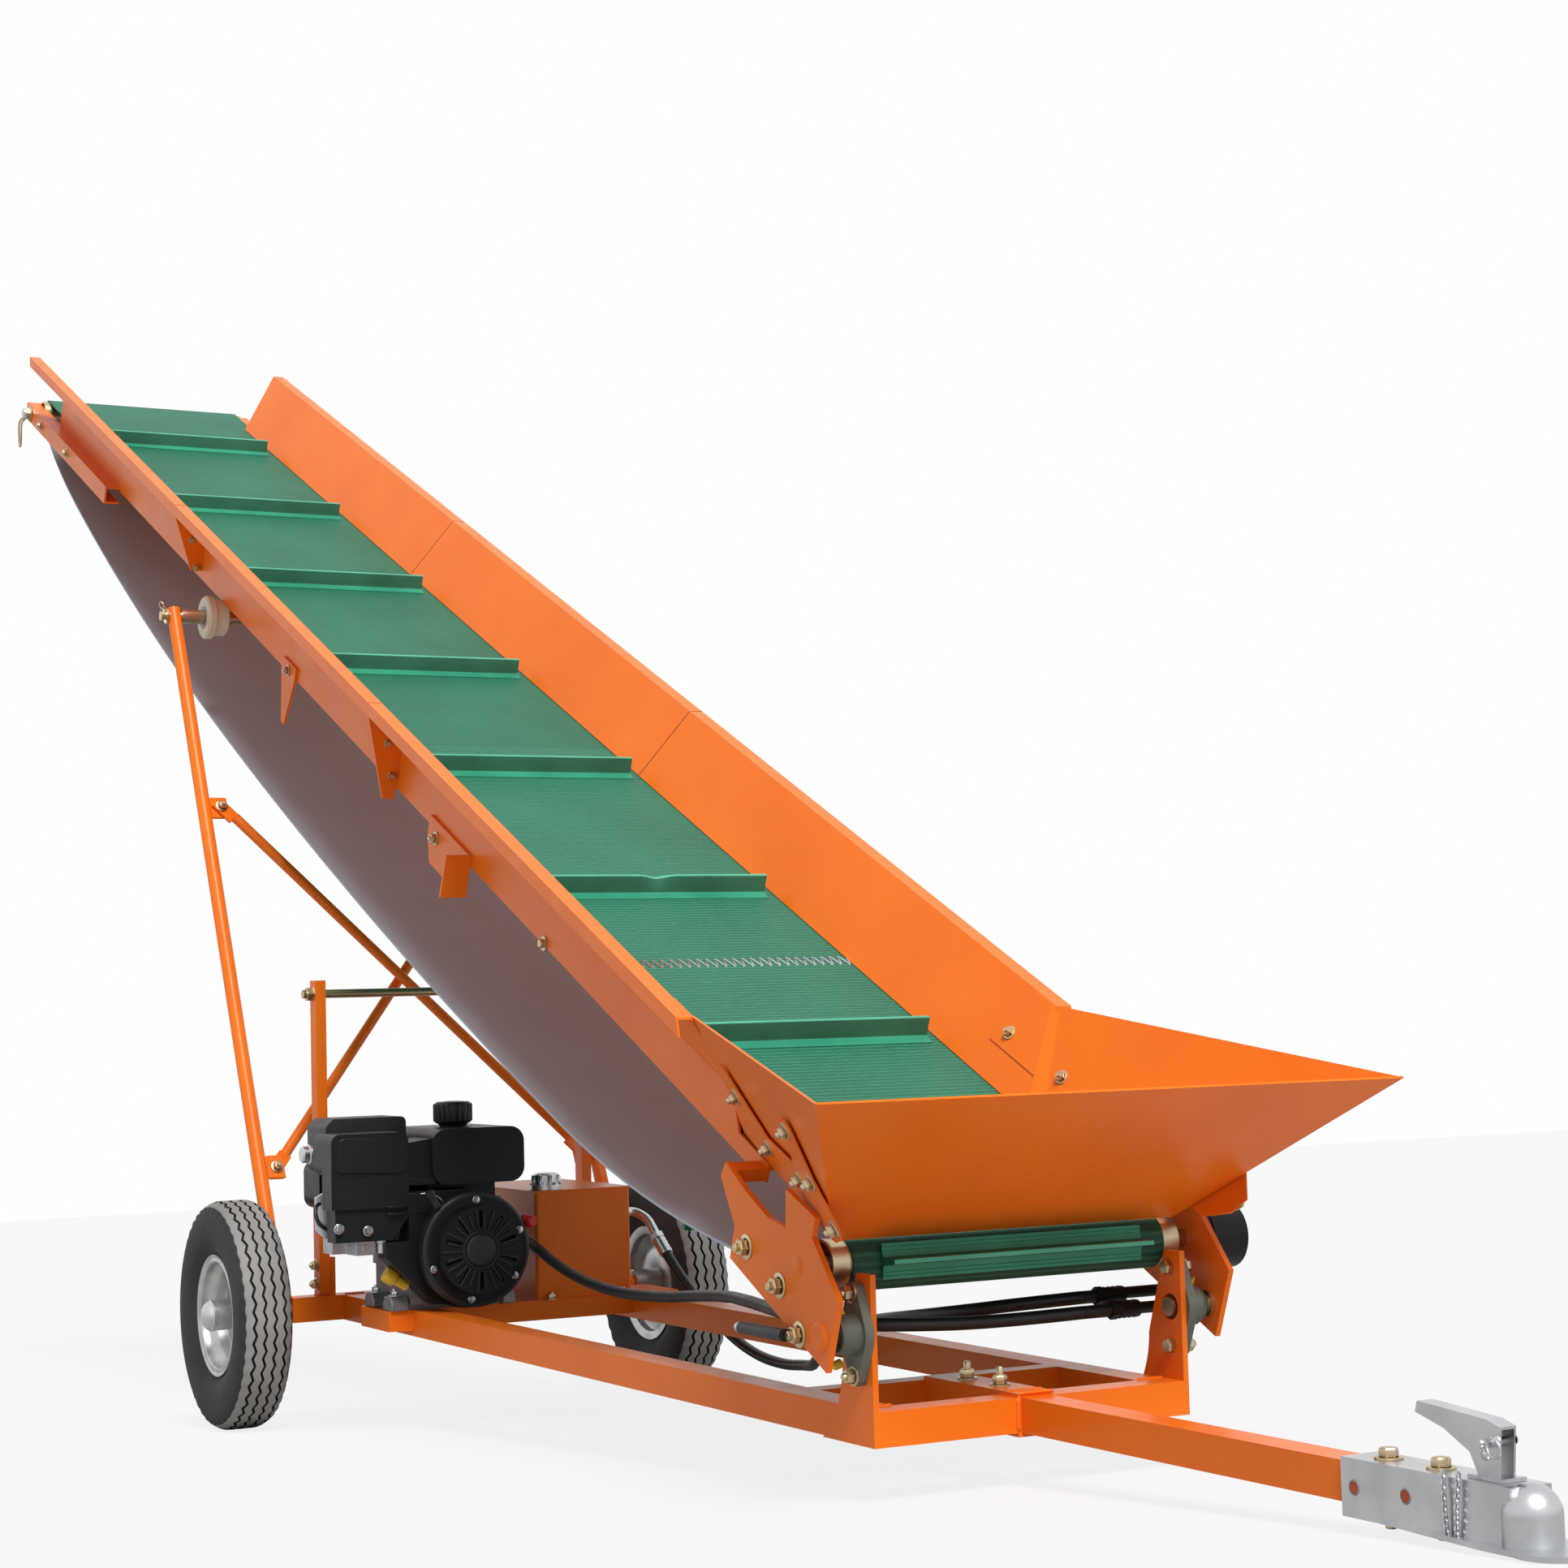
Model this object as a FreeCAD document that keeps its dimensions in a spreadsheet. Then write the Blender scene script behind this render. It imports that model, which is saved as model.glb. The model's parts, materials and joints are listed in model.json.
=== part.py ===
import FreeCAD, Part
import Sketcher
import math
import os

# Portable belt conveyor on two wheels: a towed frame with an engine and a hydraulic
# drive, and a pitched boom with a cleated belt, held up by a pair of prop legs whose
# rollers run under the boom. Millimetres, +X to the hitch, +Y the machine's left.
#
# Pieces are drawn in three frames: the machine's own (z = 0 under the frame tubes,
# x = 0 at the front cross beam), the boom's (origin on the tail drum's axis, -X up
# along the boom, +Z square to it) and the legs' (origin on the wheel axis, +Z up
# along the legs). At the end all of them get the lean of the parked machine, which
# rests on its two tyres and on the nose of the coupler.

doc = FreeCAD.newDocument("BeltConveyor")

# Driving dimensions: name, value, what it measures
sizeTable = [
    ("tubeSide", 45, "side of the square frame tube"),
    ("axleBack", 1995, "wheel axis behind the frame's front face"),
    ("axleClear", 1.5, "gap between the axle beam's end and a prop leg"),
    ("spindleRadius", 15, "radius of the wheel spindle"),
    ("spindlePast", 49, "spindle end outward of the tyre's middle"),
    ("frameHalf", 234, "half width of the frame over its side rails"),
    ("drawbarReach", 690, "front end of the drawbar"),
    ("drawbarTail", 235, "rear end of the drawbar behind the front face"),
    ("sleeveWall", 5, "wall of the drawbar's sleeve"),
    ("slideGap", 0.3, "gap where one piece slides into another"),
    ("pinGap", 0.09, "gap round a pin or shaft"),
    ("tieDepth", 35, "front to back size of the tie behind the drawbar"),
    ("padFront", 1615, "front edge of the engine pad behind the front face"),
    ("padDepth", 138, "front to back size of the engine pad"),
    ("padThick", 35, "height of the engine pad beam"),
    ("padHalf", 279, "half length of the engine pad beam"),
    ("uprightHigh", 216, "height of the pivot upright"),
    ("uprightGauge", 8, "thickness of the pivot upright"),
    ("uprightTop", 35, "width of the pivot upright at its top"),
    ("uprightFoot", 134, "width of the pivot upright at its foot"),
    ("pivotBack", 25, "boom pivot behind the front face"),
    ("pivotHigh", 141, "boom pivot above the frame's underside"),
    ("pivotRadius", 12.5, "radius of the boom pivot stub"),
    ("bearingBolts", 104, "distance between the two bolts of a pivot bearing"),
    ("bearingCheek", 33, "half width of the bearing flange"),
    ("bearingEar", 13, "radius of the bearing flange's ends"),
    ("bearingGauge", 13, "thickness of the bearing flange"),
    ("bearingHub", 27, "radius of the bearing hub"),
    ("bearingReach", 38, "length of the bearing, flange and hub"),
    ("postInner", 256, "inner face of a boom rest post from the middle"),
    ("postWide", 20, "width of a rest post across the machine"),
    ("postDeep", 30, "depth of a rest post along the machine"),
    ("postHigh", 624, "top of the rest posts"),
    ("postWall", 2.5, "wall of the rest post's tube"),
    ("restHigh", 599, "height of the boom rest shaft"),
    ("restRadius", 8, "radius of the boom rest shaft"),
    ("restReach", 296, "end of the boom rest shaft from the middle"),
    ("wheelSpace", 88, "middle of a tyre outward of the prop leg's middle"),
    ("tyreRadius", 205, "outer radius of the tyre"),
    ("tyreWidth", 99, "width of the tyre"),
    ("rimRadius", 109, "radius of the rim's flange"),
    ("rimWidth", 74, "width of the rim over its flanges"),
    ("rimGauge", 3, "thickness of the rim"),
    ("hubRadius", 27, "radius of the wheel hub"),
    ("rimDish", 14, "wheel disc inward of the rim's middle"),
    ("hubClear", 5.5, "gap between a prop leg and the wheel hub"),
    ("capPast", 60, "outer end of the hub cap outward of the tyre's middle"),
    ("boomPitch", 25.1, "angle of the boom above the frame"),
    ("drumBack", 78.9, "tail drum axis behind the front face"),
    ("drumHigh", 225.4, "tail drum axis above the frame's underside"),
    ("drumRadius", 32.6, "radius of both drums"),
    ("drumHalf", 242, "half length of the drums"),
    ("axleRadius", 12.5, "radius of the drum shafts"),
    ("headReach", 4370, "head drum axis from the tail drum axis"),
    ("beltGauge", 4, "thickness of the belt"),
    ("beltHalf", 240, "half width of the belt"),
    ("cleatHalf", 200, "half width of a cleat"),
    ("cleatHigh", 34, "height of a cleat above the belt"),
    ("cleatBase", 46, "width of a cleat's foot strip"),
    ("cleatWeb", 9, "thickness of a cleat's web at its root"),
    ("cleatPitch", 565, "distance between the cleats"),
    ("cleatFirst", 577, "first cleat on the carrying run from the tail drum axis"),
    ("cleatTurn", 62, "angle of the cleat on the tail drum, forward of its top"),
    ("cleatReturn", 520, "first cleat on the return run from the tail drum"),
    ("sagWrap", 21, "angle at which the return run leaves the tail drum"),
    ("headWrap", 35, "angle at which the return run leaves the head drum"),
    ("skirtHalf", 217, "half width between the skirts above the belt"),
    ("skirtLow", 38, "lower edge of the skirt above the drum axis"),
    ("flareHalf", 298, "half width between the side panels at their top"),
    ("flangeHalf", 323, "half width over the top flanges"),
    ("flangeHigh", 165, "height of the top flange above the drum axis"),
    ("lipDeep", 22, "depth of the folded lip"),
    ("panelGauge", 3, "thickness of the side panels"),
    ("panelStart", 300, "foot of the side panels' slanted lower end"),
    ("panelStartTop", 400, "top of the side panels' slanted lower end"),
    ("panelEndBack", 166, "foot of the side panels' slanted upper end behind the head drum axis"),
    ("panelTopBack", 95, "top of the side panels' slanted upper end behind the head drum axis"),
    ("railInner", 246, "inner face of the rail strip from the middle"),
    ("railGauge", 4, "thickness of the rail strip"),
    ("railLow", 10, "lower edge of the rail strip above the drum axis"),
    ("railStart", 205, "lower end of the rail strips"),
    ("deckLow", 27, "underside of the belt deck above the drum axis"),
    ("deckGauge", 3, "thickness of the belt deck"),
    ("bearingClear", 15, "gap between a pivot bearing and its tail plate"),
    ("plateGauge", 8, "thickness of a tail plate"),
    ("hopperGauge", 3, "thickness of the hopper's sheets"),
    ("hopperReach", 227.5, "hopper lip ahead of the front face"),
    ("hopperHigh", 441, "hopper lip above the frame's underside"),
    ("hopperHalf", 438, "half width of the hopper at its lip"),
    ("hopperFoot", 54, "hopper's front foot behind the front face"),
    ("hopperFootHigh", 256.5, "hopper's front foot above the frame's underside"),
    ("hopperFootHalf", 263, "half width of the hopper at its foot"),
    ("motorRadius", 44.5, "radius of the hydraulic motor"),
    ("motorLong", 72, "length of the hydraulic motor"),
    ("legSpace", 61, "middle of a prop leg outward of its roller's guide flange"),
    ("legRadius", 13.5, "radius of a prop leg"),
    ("legReach", 2790, "leg roller along the boom from the tail drum"),
    ("jointAbove", 160, "upper joint of the boom's sections, up from the leg roller"),
    ("jointBelow", 1090, "lower joint of the boom's sections, down from the leg roller"),
    ("fingerBelow", 474, "finger bracket, down from the leg roller"),
    ("angleBelow", 1370, "angle bracket, down from the leg roller"),
    ("rollerClear", 8, "gap between the roller's guide flange and the upper joint"),
    ("legBush", 23, "radius of the bush at a leg's foot"),
    ("treadRadius", 37.5, "radius of a leg roller's tread"),
    ("guideRadius", 44.5, "radius of a leg roller's guide flange"),
    ("treadInner", 238, "inner end of a leg roller from the middle"),
    ("treadOuter", 268, "tread's outer end from the middle"),
    ("guideOuter", 284, "guide flange's outer end from the middle"),
    ("shaftRadius", 10, "radius of the legs' top shaft"),
    ("shaftPast", 29, "end of the legs' top shaft outward of a leg's middle"),
    ("braceRadius", 10, "radius of a brace tube"),
    ("braceFlat", 6, "thickness of a brace's flattened end and of its ear"),
    ("earLow", 280, "lower brace ear along the leg"),
    ("earHigh", 1048, "upper brace ear along the leg"),
    ("couplerHalf", 28, "half width of the coupler's channel"),
    ("couplerLap", 40, "length of drawbar inside the coupler"),
    ("ballReach", 269, "ball socket's middle ahead of the coupler's rear end"),
    ("ballHigh", 22, "ball socket's middle above the frame's underside"),
    ("ballRadius", 25.4, "radius of the ball socket"),
    ("couplerGauge", 5, "thickness of the coupler's steel"),
    ("noseReach", 81, "nose of the coupler ahead of the ball socket's middle"),
    ("couplerLow", 14, "underside of the coupler's flange below the frame"),
    ("flangeWide", 45, "half width of the coupler's flange at the ball"),
    ("crankSide", 152, "engine crank axis from the middle, to the near side"),
    ("crankHigh", 150, "engine crank axis above the frame's underside"),
    ("recoilFront", 1500, "front of the recoil starter behind the front face"),
    ("recoilRadius", 96.5, "radius of the recoil starter's cover"),
    ("hoseRadius", 9, "radius of the hydraulic hoses"),
    ("hoseEnd", 236, "end of the hoses at the motor's pipes from the middle"),
]

sheet = doc.addObject("Spreadsheet::Sheet", "Sizes")
for row, (alias, value, meaning) in enumerate(sizeTable, start=1):
    sheet.set("A%d" % row, meaning)
    sheet.set("B%d" % row, str(value))
    sheet.setAlias("B%d" % row, alias)
doc.recompute()


# A size from the sheet, or one worked out from several: its value and its formula
class Size:
    def __init__(self, value, text):
        self.value = value
        self.text = text

    def __float__(self):
        return float(self.value)

    def __neg__(self):
        return Size(-self.value, "-1 * (" + self.text + ")")

    def __add__(self, other):
        return Size(self.value + float(other), "(" + self.text + " + " + text(other) + ")")

    def __radd__(self, other):
        return Size(float(other) + self.value, "(" + text(other) + " + " + self.text + ")")

    def __sub__(self, other):
        return Size(self.value - float(other), "(" + self.text + " - " + text(other) + ")")

    def __rsub__(self, other):
        return Size(float(other) - self.value, "(" + text(other) + " - " + self.text + ")")

    def __mul__(self, other):
        return Size(self.value * float(other), self.text + " * " + text(other))

    def __rmul__(self, other):
        return Size(float(other) * self.value, text(other) + " * " + self.text)

    def __truediv__(self, other):
        return Size(self.value / float(other), self.text + " / " + text(other))


def text(number):
    if isinstance(number, Size):
        return number.text
    return "(%s)" % repr(float(number))


class Sheet:
    def __getattr__(self, alias):
        return Size(float(sheet.get(alias)), "Sizes." + alias)


s = Sheet()
nodes = {}
plateInner = s.frameHalf + s.uprightGauge + s.bearingReach + s.bearingClear
legHalf = s.guideOuter + s.legSpace
wheelTrack = legHalf + s.wheelSpace
panelEnd = s.headReach - s.panelEndBack
panelTop = s.headReach - s.panelTopBack
couplerTail = s.drawbarReach - s.couplerLap
ballAhead = couplerTail + s.ballReach
couplerNose = ballAhead + s.noseReach


def bind(thing, prop, size):
    if isinstance(size, Size):
        thing.setExpression(prop, size.text)
    elif "." in prop:
        thing.setExpression(prop, text(size))
    else:
        setattr(thing, prop, float(size))


def vec(x, y, z):
    return FreeCAD.Vector(float(x), float(y), float(z))


def moveTo(thing, x, y, z):
    for axis, size in zip("xyz", (x, y, z)):
        bind(thing, "Placement.Base." + axis, size)
    return thing


# Primitives: a block by its low and high corner, and rods along each axis
def block(name, low, high):
    thing = doc.addObject("Part::Box", name)
    bind(thing, "Length", high[0] - low[0])
    bind(thing, "Width", high[1] - low[1])
    bind(thing, "Height", high[2] - low[2])
    return moveTo(thing, *low)


turns = {
    "X": FreeCAD.Rotation(FreeCAD.Vector(0, 1, 0), 90),
    "Y": FreeCAD.Rotation(FreeCAD.Vector(1, 0, 0), -90),
    "Z": FreeCAD.Rotation(),
}


def rod(name, axis, radius, start, length):
    thing = doc.addObject("Part::Cylinder", name)
    thing.Placement = FreeCAD.Placement(FreeCAD.Vector(), turns[axis])
    bind(thing, "Radius", radius)
    bind(thing, "Height", length)
    return moveTo(thing, *start)


def fuse(name, things):
    whole = doc.addObject("Part::MultiFuse", name)
    whole.Shapes = things
    return whole


def cut(name, base, tool):
    whole = doc.addObject("Part::Cut", name)
    whole.Base = base
    whole.Tool = tool
    return whole


def made(name, shape):
    thing = doc.addObject("Part::Feature", name)
    thing.Shape = shape
    return thing


# A prism along Y from an outline in the XZ plane; its corners are (x, z) pairs
def slab(corners, low, high):
    points = [vec(x, low, z) for x, z in corners]
    face = Part.Face(Part.makePolygon(points + points[:1]))
    return face.extrude(vec(0, float(high) - float(low), 0))


# The start and the end along Y of a span that is mirrored for the near side
def span(sign, inner, outer):
    if sign > 0:
        return inner, outer
    return -outer, -inner


# A body turned about the machine's cross axis, from (radius, y) pairs in a sketch
def turned(name, points):
    body = doc.addObject("PartDesign::Body", name)
    plane = [item for item in body.Origin.OriginFeatures if item.Role == "XY_Plane"][0]
    sketch = body.newObject("Sketcher::SketchObject", name + "Profile")
    sketch.AttachmentSupport = [(plane, "")]
    sketch.MapMode = "FlatFace"
    corners = [vec(radius, y, 0) for radius, y in points]
    count = len(corners)
    for index in range(count):
        sketch.addGeometry(Part.LineSegment(corners[index], corners[(index + 1) % count]), False)
    for index in range(count):
        sketch.addConstraint(Sketcher.Constraint("Coincident", index, 2, (index + 1) % count, 1))
    for index, (radius, y) in enumerate(points):
        for kind, size in (("DistanceX", radius), ("DistanceY", y)):
            place = sketch.addConstraint(Sketcher.Constraint(kind, -1, 1, index, 1, float(size)))
            label = "%s%d" % (kind.lower(), index)
            sketch.renameConstraint(place, label)
            sketch.setExpression("Constraints." + label, text(size))
    revolution = body.newObject("PartDesign::Revolution", name + "Turn")
    revolution.Profile = sketch
    revolution.ReferenceAxis = (sketch, ["V_Axis"])
    revolution.Angle = 360
    return body


# A path of straight runs joined by tangent arcs as large as the runs allow
def softPath(points):
    places = [vec(*point) for point in points]
    edges = []
    radii = []
    start = places[0]
    for before, corner, after in zip(places, places[1:], places[2:]):
        inward = (corner - before).normalize()
        outward = (after - corner).normalize()
        half = inward.getAngle(outward) / 2
        reach = 0.45 * min((corner - before).Length, (after - corner).Length)
        radii.append(reach / math.tan(half))
        enter = corner - inward * reach
        leave = corner + outward * reach
        inside = (outward - inward).normalize()
        depth = radii[-1] / math.cos(half) - radii[-1]
        if (enter - start).Length > 1e-6:
            edges.append(Part.LineSegment(start, enter).toShape())
        edges.append(Part.Arc(enter, corner + inside * depth, leave).toShape())
        start = leave
    edges.append(Part.LineSegment(start, places[-1]).toShape())
    return Part.Wire(edges), radii


def pipe(points, radius):
    path, radii = softPath(points)
    first = vec(*points[0])
    ahead = vec(*points[1]) - first
    ring = Part.Wire([Part.makeCircle(float(radius), first, ahead)])
    tube = path.makePipeShell([ring], True, False)
    section = math.pi * float(radius) ** 2
    print("  pipe: length %.0f, smallest radius %.0f, volume against section times length %.4f"
          % (path.Length, min(radii), tube.Volume / (section * path.Length)))
    return tube


# Places of the three frames in the machine
pitch = math.radians(float(s.boomPitch))
boomFrame = FreeCAD.Placement(
    vec(-s.drumBack, 0, s.drumHigh),
    FreeCAD.Rotation(FreeCAD.Vector(0, 1, 0), float(s.boomPitch)))


def alongBoom(reach, side, high):
    return boomFrame.multVec(vec(-float(reach), side, high))


wheelAxis = vec(-s.axleBack, 0, s.tubeSide / 2)
rollerDrop = s.railLow - s.treadRadius - s.slideGap
rollerAxis = alongBoom(s.legReach, 0, rollerDrop)
legLong = (rollerAxis - wheelAxis).Length
legLean = math.degrees(math.atan2(wheelAxis.x - rollerAxis.x, rollerAxis.z - wheelAxis.z))
legFrame = FreeCAD.Placement(wheelAxis, FreeCAD.Rotation(FreeCAD.Vector(0, 1, 0), -legLean))
wheelFrame = FreeCAD.Placement(wheelAxis, FreeCAD.Rotation())
machineFrame = FreeCAD.Placement()


# A named sub-part: one or more bodies that don't touch, and the frame they lie in
def node(name, frame, things):
    whole = doc.addObject("Part::Compound", name)
    whole.Links = things
    whole.Label = name
    nodes[name] = (whole, frame)


sides = (("near", -1), ("far", 1))


# Frame: axle beam with its spindles, side rails, cross beams, drawbar in its sleeve
def axleBeam():
    half = s.tubeSide / 2
    reach = legHalf - s.legRadius - s.axleClear
    end = wheelTrack + s.spindlePast
    beam = block("AxleTube", (-s.axleBack - half, -reach, 0), (-s.axleBack + half, reach, s.tubeSide))
    spindle = rod("AxleSpindle", "Y", s.spindleRadius, (-s.axleBack, -end, half), 2 * end)
    node("axle_beam", machineFrame, [fuse("AxleBeam", [beam, spindle])])


def sideRails():
    for side, sign in sides:
        low, high = span(sign, s.frameHalf - s.tubeSide, s.frameHalf)
        rail = block("SideRail" + side, (-s.axleBack + s.tubeSide / 2, low, 0),
                     (-s.tubeSide, high, s.tubeSide))
        node("side_rail_" + side, machineFrame, [rail])


def frontBeam():
    inner = s.tubeSide / 2 + s.slideGap
    outer = inner + s.sleeveWall
    beam = block("FrontTube", (-s.tubeSide, -s.frameHalf, 0), (0, s.frameHalf, s.tubeSide))
    sleeve = block("SleeveOuter", (-s.drawbarTail, -outer, -s.slideGap - s.sleeveWall),
                   (0, outer, s.tubeSide + s.slideGap + s.sleeveWall))
    bore = block("SleeveBore", (-s.drawbarTail - 10, -inner, -s.slideGap),
                 (10, inner, s.tubeSide + s.slideGap))
    node("front_beam", machineFrame, [cut("FrontBeam", fuse("FrontSolid", [beam, sleeve]), bore)])


def drawbarTie():
    tie = block("DrawbarTie", (-s.drawbarTail - s.tieDepth, -s.frameHalf + s.tubeSide, 0),
                (-s.drawbarTail, s.frameHalf - s.tubeSide, s.tubeSide))
    node("drawbar_tie", machineFrame, [tie])


def drawbar():
    half = s.tubeSide / 2
    bar = block("DrawbarTube", (-s.drawbarTail + s.slideGap, -half, 0),
                (s.drawbarReach, half, s.tubeSide))
    node("drawbar", machineFrame, [bar])


def enginePad():
    back = -s.padFront - s.padDepth
    low = s.tubeSide - s.padThick
    inner = s.frameHalf - s.tubeSide
    middle = block("PadMiddle", (back, -inner, low), (-s.padFront, inner, s.tubeSide))
    ends = []
    for side, sign in sides:
        start, end = span(sign, s.frameHalf, s.padHalf)
        ends.append(block("PadEnd" + side, (back, start, low), (-s.padFront, end, s.tubeSide)))
    node("engine_pad_beam", machineFrame, [middle] + ends)


# Upright plates with a hollowed rear edge, and the two-bolt bearings bolted on them
def uprights():
    top = float(s.uprightHigh)
    throat = (-76.0, 0.48 * top)
    hollow = (-88.0, 0.25 * top)
    for side, sign in sides:
        low = span(sign, s.frameHalf, s.frameHalf + s.uprightGauge)[0]
        place = lambda x, z: vec(x, low, z)
        foot = place(-s.uprightFoot, 0)
        edges = [
            Part.LineSegment(place(0, 0), place(0, top)),
            Part.LineSegment(place(0, top), place(-s.uprightTop, top)),
            Part.LineSegment(place(-s.uprightTop, top), place(*throat)),
            Part.Arc(place(*throat), place(*hollow), foot),
            Part.LineSegment(foot, place(0, 0)),
        ]
        face = Part.Face(Part.Wire([edge.toShape() for edge in edges]))
        plate = face.extrude(vec(0, float(s.uprightGauge), 0))
        hole = Part.makeCylinder(float(s.pivotRadius) + 5, float(s.uprightGauge),
                                 place(-s.pivotBack, s.pivotHigh), vec(0, 1, 0))
        node("upright_" + side, machineFrame, [made("Upright" + side, plate.cut(hole))])


# Oval flange: a cheek circle and two ear circles joined by their outer tangents
def ovalFlange(y, thickness):
    centre = (-float(s.pivotBack), float(s.pivotHigh))
    span = float(s.bearingBolts) / 2
    cheek = float(s.bearingCheek)
    ear = float(s.bearingEar)
    slant = math.asin((cheek - ear) / span)
    corners = []
    for across, up in ((1, 1), (-1, 1), (-1, -1), (1, -1)):
        near = (across * cheek * math.cos(slant), up * cheek * math.sin(slant))
        far = (across * ear * math.cos(slant), up * (span + ear * math.sin(slant)))
        order = (near, far) if across * up > 0 else (far, near)
        corners += [(centre[0] + a, centre[1] + b) for a, b in order]
    web = slab(corners, y, y + thickness)
    discs = [Part.makeCylinder(cheek, thickness, vec(centre[0], y, centre[1]), vec(0, 1, 0))]
    for up in (-1, 1):
        discs.append(Part.makeCylinder(ear, thickness, vec(centre[0], y, centre[1] + up * span),
                                       vec(0, 1, 0)))
    return web.fuse(discs)


def bearings():
    face = float(s.frameHalf + s.uprightGauge)
    thick = float(s.bearingGauge)
    reach = float(s.bearingReach)
    for side, sign in sides:
        flange = ovalFlange(face if sign > 0 else -face - thick, thick)
        axis = lambda y: vec(-s.pivotBack, sign * y, s.pivotHigh)
        hub = Part.makeCylinder(float(s.bearingHub), reach - 10, axis(face), vec(0, sign, 0))
        nose = Part.makeCone(float(s.bearingHub), float(s.bearingHub) - 6, 10,
                             axis(face + reach - 10), vec(0, sign, 0))
        bore = Part.makeCylinder(float(s.pivotRadius + s.pinGap), reach, axis(face), vec(0, sign, 0))
        shape = flange.fuse([hub, nose]).cut(bore)
        node("bearing_" + side, machineFrame, [made("Bearing" + side, shape.removeSplitter())])


# Boom rest: two posts on the axle beam with the shaft on which the boom lies when low
def restPosts():
    half = s.postDeep / 2
    wall = s.postWall
    for side, sign in sides:
        low, high = span(sign, s.postInner, s.postInner + s.postWide)
        tube = block("PostTube" + side, (-s.axleBack - half, low, s.tubeSide),
                     (-s.axleBack + half, high, s.postHigh))
        bore = block("PostBore" + side, (-s.axleBack - half + wall, low + wall, s.tubeSide),
                     (-s.axleBack + half - wall, high - wall, s.postHigh + 1))
        hollow = cut("PostHollow" + side, tube, bore)
        start, end = span(sign, s.postInner - 8, s.postInner)
        cheek = block("PostCheek" + side, (-s.axleBack - s.tubeSide / 2, start, s.tubeSide),
                      (-s.axleBack + s.tubeSide / 2, end, s.tubeSide + 70))
        eye = rod("PostEye" + side, "Y", s.restRadius + s.pinGap,
                  (-s.axleBack, low - 1, s.restHigh), s.postWide + 2)
        post = cut("Post" + side, fuse("PostBody" + side, [hollow, cheek]), eye)
        node("rest_post_" + side, machineFrame, [post])


def hexagon(centreX, centreZ, y, length, flats):
    corner = float(flats) / math.sqrt(3)
    turn = [math.radians(60 * step) for step in range(6)]
    corners = [(float(centreX) + corner * math.cos(a), float(centreZ) + corner * math.sin(a)) for a in turn]
    return slab(corners, y, float(y) + float(length))


def restShaft():
    reach = float(s.restReach)
    outer = float(s.postInner + s.postWide)
    shaft = Part.makeCylinder(float(s.restRadius), 2 * reach,
                              vec(-s.axleBack, -reach, s.restHigh), vec(0, 1, 0))
    nuts = [hexagon(-s.axleBack, s.restHigh, start, 12, 24) for start in (outer + 0.3, -outer - 12.3)]
    node("rest_shaft", machineFrame, [made("RestShaft", shaft.fuse(nuts))])


# Ball coupler: channel over the drawbar, ball dome and spread flange
def coupler():
    half = float(s.couplerHalf)
    gauge = float(s.couplerGauge)
    tail = float(couplerTail)
    ball = float(ballAhead)
    low = -float(s.couplerLow)
    top = float(s.tubeSide + s.slideGap) + gauge
    dome = float(s.ballRadius) + gauge + 1.5
    high = float(s.ballHigh)
    wide = float(s.flangeWide)
    channel = Part.makeBox(ball - tail, 2 * half, top - low, vec(tail, -half, low))
    bowl = Part.makeCylinder(dome, high - low, vec(ball, 0, low))
    ballTop = Part.makeSphere(dome, vec(ball, 0, high))
    ballTop = ballTop.common(Part.makeBox(2 * dome, 2 * dome, dome, vec(ball - dome, -dome, high)))
    flangeEdge = [vec(tail + 60, -half, low), vec(ball - 30, -wide, low), vec(ball + 20, -wide, low)]
    nose = Part.Arc(vec(ball + 20, -wide, low), vec(couplerNose, 0, low), vec(ball + 20, wide, low))
    back = [vec(ball + 20, wide, low), vec(ball - 30, wide, low), vec(tail + 60, half, low)]
    flange = Part.Face(Part.Wire([
        Part.makePolygon(flangeEdge),
        Part.Wire([nose.toShape()]),
        Part.makePolygon(back + flangeEdge[:1]),
    ])).extrude(vec(0, 0, gauge + 1))
    inner = half - gauge
    hollow = Part.makeBox(ball - float(s.ballRadius) - gauge - tail, 2 * inner, top - gauge - low + 1,
                          vec(tail - 1, -inner, low - 1))
    cup = Part.makeCylinder(float(s.ballRadius), high - low + 1, vec(ball, 0, low - 1))
    cupTop = Part.makeSphere(float(s.ballRadius), vec(ball, 0, high))
    shape = channel.fuse([bowl, ballTop, flange]).cut([hollow, cup, cupTop])
    node("coupler", machineFrame, [made("Coupler", shape.removeSplitter())])


# Latch lever of bent sheet with its seat and pin, on top of the coupler
def couplerLatch():
    top = float(s.tubeSide + s.slideGap + s.couplerGauge)
    ball = float(ballAhead)
    low = top + 4
    side = [(ball - 66, low), (ball - 34, low), (ball - 30, low + 52), (ball - 50, low + 58),
            (ball - 158, low + 66), (ball - 162, low + 54), (ball - 118, low + 42), (ball - 78, low + 22)]
    lever = slab(side, -11, 11).cut(slab([(x, z - 3) for x, z in side], -8.5, 8.5))
    seat = Part.makeBox(52, 34, 4, vec(ball - 76, -17, top + 0.3))
    pin = Part.makeCylinder(5, 40, vec(ball - 50, -20, low + 34), vec(0, 1, 0))
    node("coupler_latch", machineFrame, [made("CouplerLatch", lever.fuse([seat, pin]))])


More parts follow.
